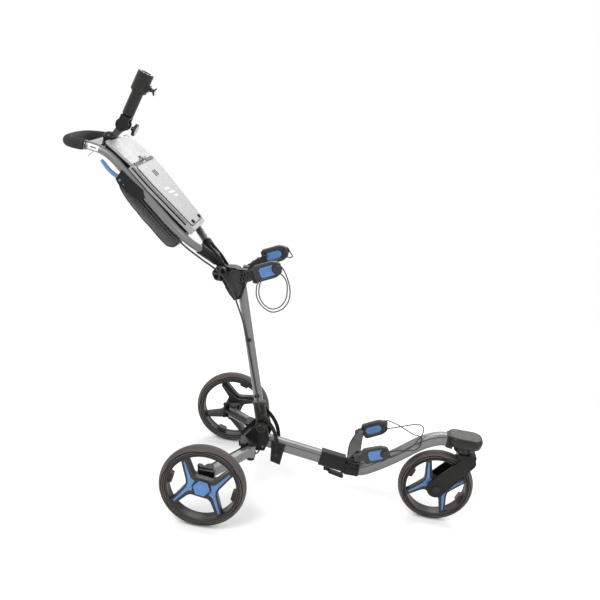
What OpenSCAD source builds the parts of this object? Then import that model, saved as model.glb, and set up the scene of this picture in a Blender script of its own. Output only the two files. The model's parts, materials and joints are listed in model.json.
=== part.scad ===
// Three-wheeled golf push trolley: a folding chassis, a caster front wheel, two bag cradles,
// a handle with a console, a pouch and a brake lever, and an umbrella holder.
// X runs forward, Z runs up, and the origin is on the ground below the middle of the trolley.

/* [Wheels] */
// Outer diameter of the rear tyres
rear_wheel_d = 270; // [260:1:275]
// Outer diameter of the front tyre
front_wheel_d = 250; // [240:1:252]
// Width of every tyre
tyre_w = 44; // [40:1:46]
// Distance between the centres of the rear wheels
track = 580; // [570:1:600]
// Distance between the rear and the front axle
wheelbase = 739; // [735:1:745]

/* [Frame] */
// Height of the pivot that the shaft folds on
fold_z = 233; // [231:1:235]
// Lean of the shaft from upright
shaft_lean = 16.1; // [15:0.1:17]
// Outer diameter of the shaft
shaft_d = 30; // [26:1:31]
// Width of the main tube and the front tube
tube_w = 34; // [30:1:35]
// Height of the main tube
tube_h = 42; // [40:1:46]
// Fall of the main tube towards the front
tube_fall = 7.2; // [7:0.1:7.4]

/* [Handle] */
// Half of the distance between the two rails of the handle
rail_y = 110; // [108:1:112]
// Outer diameter of the handle tube
rail_d = 25; // [22:1:25]
// Outer diameter of the foam grip
grip_d = 33; // [32:1:34]
// Width of the console
console_w = 222; // [200:1:226]

/* [Umbrella holder] */
// Bore that takes the umbrella shaft
umbrella_bore_d = 28; // [24:1:28]
// Lean of the holder tube from upright
umbrella_lean = 18.6; // [17:0.1:20]

/* [Bag cradles] */
// Thickness of the cradle paddles
paddle_t = 18; // [14:1:18]
// Diameter of the elastic cords
cord_d = 3.6; // [3:0.1:4]

/* [Hidden] */
$fn = 48;

// Running clearance between a pin and its hole
run = 0.05;
// Gap between pieces that slide or sit beside each other
gap = 0.5;

rear_x = -136;
rear_r = rear_wheel_d / 2;
front_x = rear_x + wheelbase;
front_r = front_wheel_d / 2;
wheel_y = track / 2;
swivel_x = front_x + 61;

fold_x = -4;
fold_pin_r = 6;
clamp_half = 24;
link_y = [27.5, 33.5];
plate_y = [36, 44];

arm_root = [-20, 84, 172];
arm_end = [-130, 226, 142];
arm_offset = [-29, 6, 0];
arm_pin_r = 5;
rod_pin_r = 3.5;
axle_r = 6;
bearing_r = 13;

tube_start = [22, 174.5];
tube_end = [250, 145.7];
front_path = [
    [257, 141.5], [292, 134], [325, 129.5], [352, 133.5], [378, 148], [415, 173],
    [462, 210], [500, 243], [526, 264], [552, 280], [577, 291], [596, 295.2], [606.5, 295.6]
];
front_h = 40;

hinge = [-205, 731];
shaft_from = 48;
shaft_to = 478;
cap_size = [114, 86];
cap_z = [285, 321.5];
fork_y = [27, 34];

// The handle tube from the yoke to the grip, for the left side
rail_path = [
    [-254, 34, 786], [-268, 47, 797], [-284, 63, 809.5], [-304, 80, 825], [-330, 97, 848],
    [-360, 107, 874.4], [-392, rail_y, 902.7], [-448, rail_y, 952], [-500, rail_y, 997.8],
    [-536, rail_y, 1029.5], [-552, rail_y, 1042], [-570, rail_y, 1053], [-592, rail_y, 1061.5],
    [-616, rail_y, 1066], [-640, rail_y, 1067.5]
];
grip_path = [
    [-641.5, rail_y, 1067.5], [-660, rail_y - 1, 1067.5], [-678, rail_y - 9, 1067.2],
    [-694, rail_y - 23, 1066.8], [-703.5, rail_y - 42, 1066.4], [-708.5, rail_y - 66, 1066],
    [-709.5, 22, 1066]
];

// Side outlines, as points of X and Z
hub_outline = [[-22, 240], [-69, 173], [-66, 158], [-21, 150], [20, 156], [31, 198], [16, 240]];
hinge_outline = [
    [-221, 746], [-227, 728], [-206, 709], [-170, 664], [-152, 646],
    [-131, 656], [-122, 702], [-133, 744], [-164, 752]
];
yoke_outline = [[-218, 747], [-232, 757], [-268, 790], [-251, 812], [-214, 779], [-188, 748]];
bracket_outline = [[-519, 1015], [-450, 965], [-444, 942], [-470, 938], [-524, 972], [-534, 986]];
lever_outline = [[-527, 993], [-545, 1003], [-562, 1018], [-582, 1034], [-588, 1030],
    [-572, 1008], [-552, 990], [-533, 977], [-520, 979]];
pouch_outline = [[-529, 1001], [-538, 962], [-500, 912], [-459, 872], [-418, 838], [-375, 801],
    [-352, 799], [-333, 814], [-338, 832], [-521.5, 988]];
base_outline = [[-492, 1034], [-291.9, 862.2], [-303.2, 846.1], [-504.3, 1019.6]];
// Half of the base's outline from above, with its lower end rounded off
base_plan = [[-510, console_w / 2], [-440, console_w / 2], [-306, 80], [-296, 75], [-288, 65]];
well_outline = [[-499, 1018], [-313, 857], [-337, 836], [-520, 990]];
well_hollow = [[-503, 1007], [-320, 850], [-336, 840], [-515, 992]];
bin_outline = [[-572, 1073.5], [-499, 1024.6], [-515.5, 999], [-588, 1047]];
bin_hollow = [[-573, 1080], [-499, 1030], [-514, 1003.5], [-584, 1049.5]];
lid_outline = [[-573, 1088], [-493.5, 1035], [-499, 1026.6], [-578.5, 1079]];
lid_hinge = [-577, 1085];
latch_outline = [[-492, 1046], [-486, 1036], [-492.5, 1034.5], [-497, 1040]];
latch_hinge = [-488.5, 1040];
fork_top = [688, 238];
upper_root = [-133, 26, 730];
upper_elbow = [-88, 83, 759];
umbrella_joint = [-562, 1131];
knob_centre = [-530, 1121];
screw_height = 111;
lid_cheek = [[-588, 1049], [-577, 1055], [-573, 1074], [-573, 1085], [-577, 1089], [-581, 1085],
    [-585, 1068]];
latch_lug = [[-501, 1038], [-495, 1033.5], [-489, 1036], [-485, 1040], [-488, 1044.5], [-494, 1045]];

// Posts that the elastic cords go round, as X and Z
upper_post = [-23.4, 796.9];
lower_post = [411.5, 250.7];
far_post = upper_post + [0, 6];

// Routes of the elastic cords, as hand-placed points
upper_loop = [
    [-76, -104, 754], [-77, -108, 744], [-79, -110, 728], [-74, -112, 700], [-54, -113, 674],
    [-22, -114, 661], [8, -114, 676], [24, -114, 706], [22, -113, 742], [8, -112, 776],
    [-8, -111, 800], [-22, -110.5, 808], [-34, -110.5, 799], [-33, -110.5, 790],
    [-22, -110.5, 786], [-6, -112, 780], [8, -114, 764], [14, -115.5, 742], [15, -117, 712],
    [2, -118, 685], [-22, -118, 672], [-48, -117, 681], [-66, -115, 704], [-71, -111, 728],
    [-70, -108, 744], [-69, -104, 754]
];
upper_wrap = concat(
    [[-48, 104, 802], [-42, 106, 805.5]],
    [for (a = [150:-30:-330]) [
        far_post[0] + 11.4 * cos(a), 106.4 + (150 - a) / 140, far_post[1] + 11.4 * sin(a)]],
    [[-6, 110, 799], [2, 109, 788], [-8, 107, 783], [-22, 106, 786], [-34, 104, 790]]);
lower_loop = [
    [402, 86, 275], [414, 84, 284], [441, 66, 286], [470, 42, 284], [497, 21, 281],
    [511, 6, 286], [520, -12, 291], [524, -21, 282], [520, -24, 262], [505, -42, 255],
    [480, -60, 258], [452, -80, 263], [430, -95, 264], [412, -100.5, 262.2], [401, -100.5, 251],
    [411, -100.5, 239.6], [428, -98, 243], [459, -78, 254], [491, -52, 270], [515, -24, 292],
    [526, -2, 308], [523, 22, 314], [506, 40, 310], [480, 56, 293], [446, 74, 270],
    [424, 84, 257], [413, 86, 256]
];

function unit(v) = v / norm(v);
function sideways(path, i) =
    unit(path[min(i + 1, len(path) - 1)] - path[max(i - 1, 0)]);

// A curve through four points, at t from 0 to 1 between the middle two
function curve_point(a, b, c, d, t) =
    0.5 * (2 * b + (c - a) * t + (2 * a - 5 * b + 4 * c - d) * t * t
    + (3 * b - a - 3 * c + d) * t * t * t);
function smooth(path, steps) = [
    for (i = [0:len(path) - 2], k = [0:steps - 1])
        curve_point(path[max(i - 1, 0)], path[i], path[i + 1], path[min(i + 2, len(path) - 1)],
            k / steps),
    path[len(path) - 1]
];
function mirrored(path) = [for (i = [len(path) - 1:-1:0]) [path[i][0], -path[i][1], path[i][2]]];

// Both edges of a flat ribbon that follows a path in X and Z
function ribbon(path, half) = [
    for (i = [0:len(path) - 1]) path[i] + half * [-sideways(path, i)[1], sideways(path, i)[0]],
    for (i = [len(path) - 1:-1:0]) path[i] - half * [-sideways(path, i)[1], sideways(path, i)[0]]
];

// One ring of points round a path
function ring(path, i, r, sides, ref) =
    let (t = sideways(path, i), a = unit(cross(t, ref)), b = cross(a, t))
    [for (k = [0:sides - 1]) path[i] + r * (cos(360 * k / sides) * a + sin(360 * k / sides) * b)];

// Round tube or cord along a path
module sweep(path, d, ref = [0, 1, 0], sides = 12) {
    n = len(path);
    rings = [for (i = [0:n - 1]) each ring(path, i, d / 2, sides, ref)];
    walls = [for (i = [0:n - 2], k = [0:sides - 1])
        [i * sides + k, i * sides + (k + 1) % sides,
            (i + 1) * sides + (k + 1) % sides, (i + 1) * sides + k]];
    polyhedron(rings, concat(
        [[for (k = [sides - 1:-1:0]) k]], walls, [[for (k = [0:sides - 1]) (n - 1) * sides + k]]));
}

// Extrudes an outline of X and Z between two values of Y
module side(y0, y1) {
    translate([0, y1, 0])
        rotate([90, 0, 0])
            linear_extrude(height = y1 - y0)
                children();
}

module outline_disc(centre, r) {
    translate(centre)
        circle(r = r);
}

module rounded_rect(w, h, r) {
    square([w - 2 * r, h], center = true);
    square([w, h - 2 * r], center = true);
    for (sx = [-1, 1], sy = [-1, 1])
        translate([sx * (w / 2 - r), sy * (h / 2 - r)])
            circle(r = r);
}

// A straight bar with a rounded section along a line in X and Z
module box_bar(from, to, w, h, r) {
    d = to - from;
    translate([from[0], 0, from[1]])
        rotate([0, atan2(-d[1], d[0]) + 90, 0])
            rotate([0, 0, 90])
                linear_extrude(height = norm(d))
                    rounded_rect(w, h, r);
}

// Places children along the shaft, with local Z up the shaft
module on_shaft() {
    translate([fold_x, 0, fold_z])
        rotate([0, -shaft_lean, 0])
            children();
}

module pin_y(x, z, r, y0, y1) {
    translate([x, y1, z])
        rotate([90, 0, 0])
            cylinder(h = y1 - y0, r = r);
}

module on_side(s) {
    if (s > 0)
        children();
    else
        mirror([0, 1, 0])
            children();
}

// ---- wheels ----

// Places a wheel with local Z pointing outwards
module wheel_at(x, y, r, facing, turn) {
    translate([x, y, r])
        rotate([90 * facing, 0, 0])
            rotate([0, 0, turn])
                children();
}

module tyre(r) {
    inner = r * 0.83;
    half = tyre_w / 2;
    color("#6b625c")
        rotate_extrude($fn = 96)
            polygon([[inner, 3 - half], [inner + 3, -half], [r - 16, -half], [r - 5, 6 - half],
                [r - 1, 13 - half], [r, 0], [r - 1, half - 13], [r - 5, half - 6], [r - 16, half],
                [inner + 3, half], [inner, half - 3]]);
}

module spoke_set(r, w) {
    for (a = [0:90:270])
        rotate([0, 0, a])
            translate([16, -w / 2])
                square([r - 17, w]);
}

module rim(r) {
    inner = r * 0.83;
    half = tyre_w / 2;
    color("#262626")
        difference() {
            union() {
                rotate_extrude($fn = 96)
                    polygon([[inner - 6, 2 - half], [inner - 0.2, 2 - half], [inner - 0.2, half - 1],
                        [inner - 6, half - 1]]);
                translate([0, 0, -4])
                    linear_extrude(height = half - 2)
                        intersection() {
                            spoke_set(inner, 24);
                            circle(r = inner - 3);
                        }
                translate([0, 0, -half - 2])
                    cylinder(h = tyre_w - 2, r = 20);
                translate([0, 0, half - 8])
                    rotate([0, 0, 15])
                        cylinder(h = 6, r = 31, $fn = 6);
                for (a = [-45, 135])
                    rotate([0, 0, a])
                        translate([inner - 17, -15, -10])
                            cube([13, 30, 24]);
            }
            translate([0, 0, -half - 3])
                cylinder(h = tyre_w - 4, r = bearing_r);
        }
}

// Blue inlays on the spokes and the six-sided cap in the middle
module trim(r) {
    inner = r * 0.83;
    top = tyre_w / 2 - 6;
    color("#5b86c8") {
        difference() {
            translate([0, 0, top])
                linear_extrude(height = 1.6)
                    difference() {
                        intersection() {
                            union() {
                                spoke_set(inner, 11);
                                for (a = [-45, 135])
                                    rotate([0, 0, a])
                                        translate([34, 0])
                                            circle(r = 13);
                            }
                            circle(r = inner - 7);
                        }
                        circle(r = 34);
                    }
        }
        translate([0, 0, top + 4])
            rotate([0, 0, 15])
                cylinder(h = 2.5, r = 27, $fn = 6);
    }
}

// A hole right through a wheel for the axle between the fork legs
module bored() {
    difference() {
        children();
        translate([0, 0, -40])
            cylinder(h = 80, r = axle_r + gap);
    }
}

module bearings() {
    half = tyre_w / 2;
    color("#b8bcc0")
        for (z = [-half - 2, half - 15.5])
            translate([0, 0, z])
                difference() {
                    cylinder(h = 8, r = bearing_r - 0.02);
                    translate([0, 0, -1])
                        cylinder(h = 10, r = axle_r + run);
                }
}

// ---- chassis ----

module hub_casting() {
    color("#2a2a2c")
        difference() {
            side(-plate_y[0], plate_y[0])
                polygon([[-60, 173], [-58, 160], [-21, 152], [16, 156], [19, 162], [22, 181], [22, 200], [-38, 206]]);
            translate([-80, -link_y[1] - 1, 196])
                cube([140, 2 * link_y[1] + 2, 30]);
        }
}

module hub_plates() {
    eye = arm_root;
    color("#1f1f21")
        for (s = [-1, 1])
            on_side(s)
                difference() {
                    union() {
                        side(plate_y[0], plate_y[1])
                            union() {
                                polygon(hub_outline);
                                outline_disc([fold_x, fold_z], 21);
                            }
                        for (z = [eye[2] - 32, eye[2] + 18.5])
                            translate([0, 0, z])
                                linear_extrude(height = 7.5)
                                    union() {
                                        translate([-62, plate_y[1] - 1])
                                            square([56, 47]);
                                        outline_disc([eye[0], eye[1]], 14);
                                        outline_disc([eye[0], eye[1]] + [arm_offset[0], arm_offset[1]], 11);
                                    }
                        translate([eye[0], eye[1], eye[2] - 28])
                            cylinder(h = 50, r = arm_pin_r);
                        translate(eye + arm_offset - [0, 0, 28])
                            cylinder(h = 50, r = rod_pin_r);
                    }
                    pin_y(fold_x, fold_z, fold_pin_r + 0.02, 20, 60);
                }
}

module fold_pin() {
    color("#8d9094") {
        pin_y(fold_x, fold_z, fold_pin_r, -plate_y[1], plate_y[1]);
        pin_y(fold_x, fold_z, 11, plate_y[1], plate_y[1] + 5);
        pin_y(fold_x, fold_z, 11, -plate_y[1] - 5, -plate_y[1]);
    }
}

module main_tube() {
    color("#a9abae")
        difference() {
            box_bar(tube_start, tube_end, tube_w, tube_h, 9);
            box_bar(tube_start - [9, -1.1], tube_end + [9, -1.1], tube_w - 5, tube_h - 5, 6.5);
        }
}

module collar_shell(w, h, r, from, to) {
    d = tube_end - tube_start;
    box_bar(tube_start + d * from, tube_start + d * to, w, h, r);
}

module tube_collar() {
    color("#2b2b2d")
        difference() {
            union() {
                collar_shell(44, 53, 12, 0.81, 1.17);
                for (s = [-1, 1])
                    on_side(s)
                        side(4, 12)
                            polygon([[222, 126], [240, 126], [236, 108], [226, 108]]);
            }
            collar_shell(tube_w + 0.6, tube_h + 0.6, 9.3, 0.7, 1.3);
            front_tube_space();
            pin_y(231, 113.5, 3 + run, -30, 30);
        }
}

module collar_lever() {
    color("#1c1c1e") {
        side(-3.5, 3.5)
            union() {
                outline_disc([231, 113.5], 5);
                polygon([[226, 112], [236, 116], [252, 104], [246, 98], [231, 107]]);
            }
        side(-11, 11)
            polygon([[244, 107], [292, 98], [296, 92], [290, 89.5], [243, 99]]);
        pin_y(231, 113.5, 3, -11.9, 11.9);
    }
}

module front_tube() {
    color("#a9abae")
        side(-tube_w / 2, tube_w / 2)
            polygon(ribbon(smooth(front_path, 3), front_h / 2));
}

// The room that the front tube takes in what grips it
module front_tube_space() {
    side(-tube_w / 2 - 0.3, tube_w / 2 + 0.3)
        polygon(ribbon(smooth(front_path, 3), front_h / 2 + 0.3));
}

// The curved band of the lower cradle, seen from the front
module cradle_band(half) {
    polygon(ribbon(smooth([[-71, 232], [-67, 212], [-56, 190], [-36, 171], [-13, 161],
        [13, 161], [36, 171], [56, 190], [67, 214], [71, 242]], 4), half));
}

module lower_cradle() {
    color("#232325")
        difference() {
            union() {
                intersection() {
                    translate([296, 0, 0])
                        rotate([90, 0, 90])
                            linear_extrude(height = 44)
                                cradle_band(5);
                    side(-90, 90)
                        polygon([[290, 140], [350, 140], [350, 260], [320, 260], [314, 226], [296, 186]]);
                }
                translate([294, -24, 112])
                    cube([48, 48, 50]);
            }
            front_tube_space();
        }
}

// A cradle paddle: a rounded plate with a post at its tip for the elastic cord
module paddle(at, tilt, neck) {
    difference() {
        union() {
            side(at[1] - paddle_t / 2, at[1] + paddle_t / 2)
                translate([at[0], at[2]])
                    rotate(tilt) {
                        rounded_rect(86, 52, 18);
                        translate([-56, 0])
                            square([neck * 2, 24], center = true);
                    }
            pin_y(at[0] + 34 * cos(tilt), at[2] + 34 * sin(tilt), 9,
                at[1] + paddle_t / 2 - 1, at[1] + paddle_t / 2 + 9);
            pin_y(at[0] + 34 * cos(tilt), at[2] + 34 * sin(tilt), 12,
                at[1] + paddle_t / 2 + 9, at[1] + paddle_t / 2 + 13);
        }
        side(at[1] + paddle_t / 2 - 3, at[1] + paddle_t)
            translate([at[0] - 8 * cos(tilt), at[2] - 8 * sin(tilt)])
                rotate(tilt)
                    rounded_rect(44, 32, 7);
    }
}

module lower_paddle_right() {
    color("#232325")
        on_side(-1)
            paddle([380, 86, 238], 22, 16);
}

module lower_paddle_left() {
    color("#232325")
        paddle([376, 86, 246], 28, 14);
}

module caster_head() {
    color("#3b3b3d")
        difference() {
            union() {
                translate([swivel_x, 0, cap_z[0]])
                    linear_extrude(height = cap_z[1] - cap_z[0])
                        rounded_rect(cap_size[0], cap_size[1], 30);
                translate([swivel_x, 0, 263])
                    cylinder(h = 22.5, r = 29);
            }
            translate([swivel_x, 0, 260])
                cylinder(h = 46, r = 10 + run);
        }
}

module caster_fork() {
    color("#1e1e20") {
        difference() {
            union() {
                for (s = [-1, 1])
                    on_side(s)
                        side(fork_y[0], fork_y[1])
                            union() {
                                outline_disc([front_x, front_r], 31);
                                outline_disc(fork_top, 24);
                                polygon([[front_x - 24, front_r + 20], [fork_top[0] - 22, fork_top[1] + 10],
                                    [fork_top[0] + 17, fork_top[1] - 17], [front_x + 24, front_r - 19]]);
                            }
                translate([swivel_x - 15, -fork_y[1], 247])
                    cube([60, 2 * fork_y[1], 15]);
                translate([swivel_x, 0, 255])
                    cylinder(h = 44, r = 10);
            }
            pin_y(front_x, front_r, axle_r + 0.02, -50, 50);
        }
    }
}

module front_axle() {
    color("#9fa2a6") {
        pin_y(front_x, front_r, axle_r, -fork_y[1], fork_y[1]);
        pin_y(front_x, front_r, 10, fork_y[1], fork_y[1] + 5);
        pin_y(front_x, front_r, 10, -fork_y[1] - 5, -fork_y[1]);
    }
}

// ---- fold linkage ----

module slider_bracket() {
    color("#1f1f21")
        difference() {
            side(-26, 26)
                polygon([[38, 186], [86, 180], [78, 103], [44, 112]]);
            box_bar(tube_start + [0, -gap], tube_end + [0, -gap], tube_w + 2 * gap, tube_h + 2 * gap, 4);
            box_bar(tube_start + [0, 30], tube_end + [0, 30], tube_w + 2 * gap, tube_h, 4);
        }
}

module fold_links() {
    path = smooth([[-3, 273], [24, 249], [44, 221], [56, 186], [61, 142]], 5);
    color("#19191b")
        for (s = [-1, 1])
            on_side(s) {
                difference() {
                    side(link_y[0], link_y[1])
                        union() {
                            polygon(ribbon(path, 6));
                            outline_disc(path[0], 9);
                            outline_disc(path[len(path) - 1], 9);
                        }
                    pin_y(-3, 273, 4 + run, 20, 50);
                }
            }
}

module shaft_clamp() {
    color("#2b2b2d")
        difference() {
            union() {
                pin_y(fold_x, fold_z, 22, -clamp_half, clamp_half);
                on_shaft()
                    translate([0, 0, 14])
                        cylinder(h = 58, d = shaft_d + 10);
                pin_y(-3, 273, 4, -link_y[1] - 1, link_y[1] + 1);
            }
            on_shaft()
                translate([0, 0, shaft_from - 0.5])
                    cylinder(h = 60, d = shaft_d + 0.4);
            pin_y(fold_x, fold_z, fold_pin_r + run, -40, 40);
        }
}

module shaft_tube() {
    color("#a4a6a9")
        on_shaft()
            translate([0, 0, shaft_from])
                difference() {
                    cylinder(h = shaft_to - shaft_from, d = shaft_d);
                    translate([0, 0, -1])
                        cylinder(h = shaft_to, d = shaft_d - 4);
                }
}

module hinge_body() {
    color("#28282a")
        difference() {
            union() {
                side(-21, 21)
                    intersection() {
                        polygon(hinge_outline);
                        translate([-186, 600])
                            square([120, 200]);
                    }
                side(-14, 14)
                    union() {
                        polygon(hinge_outline);
                        outline_disc(hinge, 22);
                    }
            }
            on_shaft()
                translate([0, 0, 300])
                    cylinder(h = shaft_to - 300 + 0.5, d = shaft_d + 0.4);
            pin_y(hinge[0], hinge[1], 5 + run, -40, 40);
            pin_y(hinge[0], hinge[1], 27, 14.2, 60);
            pin_y(hinge[0], hinge[1], 27, -60, -14.2);
            for (s = [-1, 1])
                on_side(s)
                    translate(upper_root - [0, 0, 20])
                        cylinder(h = 40, r = 18.6);
        }
    color("#28282a")
        for (s = [-1, 1])
            on_side(s) {
                translate(upper_root + [0, 0, -24])
                    cylinder(h = 48, r = 5);
                for (z = [-24, 20])
                    translate(upper_root + [-9, -19, z])
                        cube([18, 24, 4]);
            }
}

// ---- rear arms ----

arm_vector = arm_end - arm_root;
arm_span = norm([arm_vector[0], arm_vector[1]]);
arm_angle = atan2(arm_vector[1], arm_vector[0]);

// A bar between two upright pivots, which drops towards its end
module pivot_bar(from, w, h, eye_r, pin_r) {
    difference() {
        union() {
            translate(from)
                rotate([0, 0, arm_angle])
                    side(-w / 2, w / 2)
                        polygon([[0, -h / 2], [0, h / 2], [arm_span, arm_vector[2] + h / 2],
                            [arm_span, arm_vector[2] - h / 2]]);
            translate(from - [0, 0, 24])
                cylinder(h = 42, r = eye_r);
            translate(from + arm_vector - [0, 0, 17])
                cylinder(h = 37, r = eye_r);
        }
        translate(from - [0, 0, 30])
            cylinder(h = 60, r = pin_r + run);
        translate(from + arm_vector - [0, 0, 30])
            cylinder(h = 60, r = pin_r + run);
    }
}

module arm(s) {
    color("#a4a6a9")
        on_side(s)
            pivot_bar(arm_root, 20, 32, 13, arm_pin_r);
}

module rod(s) {
    color("#1d1d1f")
        on_side(s)
            pivot_bar(arm_root + arm_offset, 8, 12, 7, rod_pin_r);
}

module knuckle(s) {
    end = arm_end;
    color("#232325")
        on_side(s)
            union() {
                translate([rear_x - 22, end[1] + 17, 117])
                    cube([50, 16, 50]);
                for (z = [end[2] - 25, end[2] + 20.5])
                    translate([0, 0, z])
                        linear_extrude(height = 7)
                            union() {
                                translate([end[0], end[1]])
                                    circle(r = 13);
                                translate([end[0] + arm_offset[0], end[1] + arm_offset[1]])
                                    circle(r = 9);
                                translate([end[0] - 28, end[1] + 3])
                                    square([42, 16]);
                            }
                translate([end[0], end[1], end[2] - 20])
                    cylinder(h = 43, r = arm_pin_r);
                translate(end + arm_offset - [0, 0, 20])
                    cylinder(h = 43, r = rod_pin_r);
            }
    color("#9fa2a6")
        on_side(s)
            pin_y(rear_x, rear_r, axle_r, end[1] + 32, wheel_y + tyre_w / 2 - 8);
}

// ---- handle ----

module yoke() {
    color("#28282a")
        difference() {
            union() {
                for (s = [-1, 1])
                    on_side(s)
                        side(14.7, 22)
                            union() {
                                outline_disc(hinge, 21);
                                polygon(yoke_outline);
                            }
                side(-22, 22)
                    polygon([[-236, 760], [-256, 778], [-241, 797], [-220, 782]]);
                for (s = [-1, 1])
                    on_side(s)
                        sweep([[-226, 8, 763], [-240, 20, 774.5], [-254, 34, 786], [-268, 47, 797],
                            [-274, 53, 801.7]], rail_d + 8, sides = 24);
            }
            for (s = [-1, 1])
                on_side(s)
                    sweep([[-249, 29, 782], [-254, 34, 786], [-268, 47, 797], [-284, 63, 809.5]],
                        rail_d + 0.8, sides = 24);
            pin_y(hinge[0], hinge[1], 5 + run, -40, 40);
        }
}

module handle_tube() {
    color("#a4a6a9")
        for (s = [-1, 1])
            on_side(s)
                sweep(rail_path, rail_d, sides = 16);
}

module grip() {
    path = smooth(grip_path, 2);
    color("#1a1a1c")
        sweep(concat(path, mirrored(path)), grip_d, ref = [0, 0, 1], sides = 16);
}

// Plate between the rails with the round seat of the umbrella holder
module accessory_plate() {
    color("#1b1b1d") {
        side(-rail_y + rail_d / 2 + 0.5, rail_y - rail_d / 2 - 0.5)
            polygon([[-636, 1076], [-600, 1072.5], [-593, 1066], [-597, 1057], [-636, 1060]]);
        translate([-600, 0, 1062])
            cylinder(h = 24, r = 20);
        difference() {
            side(-11, 11)
                union() {
                    polygon([[-606, 1080], [-588, 1080], [-554, 1118], [-570, 1138]]);
                    outline_disc(umbrella_joint, 12);
                }
            pin_y(umbrella_joint[0], umbrella_joint[1], 4 + run, -20, 20);
        }
    }
}

module console_base() {
    half = console_w / 2;
    color("#c9cbce")
        difference() {
            union() {
                intersection() {
                    side(-half, half)
                        polygon(base_outline);
                    linear_extrude(height = 1100)
                        polygon(concat(base_plan, [for (i = [4:-1:0]) [base_plan[i][0], -base_plan[i][1]]]));
                }
                side(-80, 80)
                    polygon(well_outline);
                side(-rail_y + 18, rail_y - 18)
                    polygon(bin_outline);
                for (s = [-1, 1])
                    on_side(s)
                        side(86, 91)
                            polygon(lid_cheek);
            }
            side(-77, 77)
                polygon(well_hollow);
            side(-rail_y + 21, rail_y - 21)
                polygon(bin_hollow);
            pin_y(lid_hinge[0], lid_hinge[1], 2 + run, -100, 100);
        }
}

module console_lid() {
    color("#c9cbce") {
        difference() {
            union() {
                side(-console_w / 2, console_w / 2)
                    polygon(lid_outline);
                for (s = [-1, 1])
                    on_side(s)
                        side(13.4, 18)
                            polygon(latch_lug);
            }
            side(-13, 13)
                translate([-506, 1020])
                    square([20, 40]);
            for (s = [-1, 1])
                on_side(s)
                    side(85.5, 91.5)
                        outline_disc(lid_hinge, 12);
            pin_y(latch_hinge[0], latch_hinge[1], 2 + run, -30, 30);
        }
        for (s = [-1, 1])
            on_side(s) {
                pin_y(lid_hinge[0], lid_hinge[1], 2, 80, 97);
                pin_y(lid_hinge[0], lid_hinge[1], 4, 74, 85.4);
                pin_y(lid_hinge[0], lid_hinge[1], 4, 91.6, 104);
            }
    }
}

module lid_latch() {
    color("#303033") {
        side(-12, 12)
            union() {
                polygon(latch_outline);
                outline_disc(latch_hinge, 4);
            }
        pin_y(latch_hinge[0], latch_hinge[1], 2, -17, 17);
    }
}

module pouch() {
    color("#3a3a3d")
        side(-86, 86)
            polygon(pouch_outline);
}

module brake_bracket() {
    color("#1f1f21")
        difference() {
            union() {
                side(-rail_y - 20, -rail_y + 17)
                    polygon(bracket_outline);
            }
            sweep([for (p = [rail_path[6], rail_path[8], rail_path[9]]) [p[0], -p[1], p[2]]],
                rail_d + 0.8, sides = 24);
            side(-rail_y - 8.5, -rail_y + 8.5)
                polygon([[-600, 940], [-510, 960], [-503, 976], [-512, 994], [-600, 1060]]);
            pin_y(-522, 985, 3 + run, -rail_y - 12, -rail_y + 12);
        }
}

module brake_lever() {
    color("#4d7cc4") {
        side(-rail_y - 7.5, -rail_y + 7.5)
            polygon(lever_outline);
        pin_y(-522, 985, 3, -rail_y - 11.5, -rail_y + 11.5);
    }
}

module handle_cable() {
    color("#141416")
        sweep([[-462, -rail_y, 943], [-450, -112, 931], [-425, -114, 908], [-392, -114, 879],
            [-360, -112, 851], [-330, -103, 827], [-304, -88, 804], [-280, -72, 785],
            [-256, -61, 768], [-236, -57, 757], [-219, -57, 748], [-203, -57, 738]], 6, sides = 8);
}

module shaft_cable() {
    color("#141416")
        sweep([[-202, -57, 737], [-188, -56, 724], [-174, -52, 708], [-160, -40, 686],
            [-150, -30, 662], [-139, -25, 636], [-118, -20.4, 590], [-99, -19.4, 540],
            [-79, -19.2, 480], [-60, -19.2, 420], [-40, -19.4, 360], [-24, -23.6, 308],
            [-16, -23.6, 289], [-10, -22.4, 270], [-7, -20, 250]],
            6, sides = 8);
}

// Three-lobed knob on the handle hinge, with its bolt
module hinge_knob() {
    color("#232325") {
        difference() {
            pin_y(hinge[0], hinge[1], 24, -50, -26);
            for (a = [30:120:270])
                translate([hinge[0] + 31 * cos(a), 0, hinge[1] + 31 * sin(a)])
                    pin_y(0, 0, 12, -60, -24);
        }
        pin_y(hinge[0], hinge[1], 14, -26.5, -22.6);
        pin_y(hinge[0], hinge[1], 5, -23, 23);
        pin_y(hinge[0], hinge[1], 10, 22.6, 29);
    }
}

// ---- umbrella holder ----

module on_umbrella() {
    translate([umbrella_joint[0], 0, umbrella_joint[1]])
        rotate([0, umbrella_lean, 0])
            children();
}

// Toothed cheeks that the holder tilts on, with their pin
module umbrella_knuckle() {
    color("#1d1d1f") {
        for (s = [-1, 1])
            on_side(s) {
                pin_y(umbrella_joint[0], umbrella_joint[1], 20, 11.5, 19);
                on_umbrella()
                    translate([-15, 12, 0])
                        cube([30, 6.5, 28]);
            }
        pin_y(umbrella_joint[0], umbrella_joint[1], 4, -12, 12);
        on_umbrella()
            translate([-15, -18.5, 22])
                cube([30, 37, 6]);
    }
}

module umbrella_knob() {
    color("#2a2a2c") {
        translate([knob_centre[0], 0, knob_centre[1]])
            rotate([0, 90 + umbrella_lean, 0])
                cylinder(h = 10, r = 20);
        translate([knob_centre[0] - 8, 0, knob_centre[1] + 2.7])
            rotate([0, 90 + umbrella_lean, 0])
                cylinder(h = 9, r = 7);
    }
}

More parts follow.
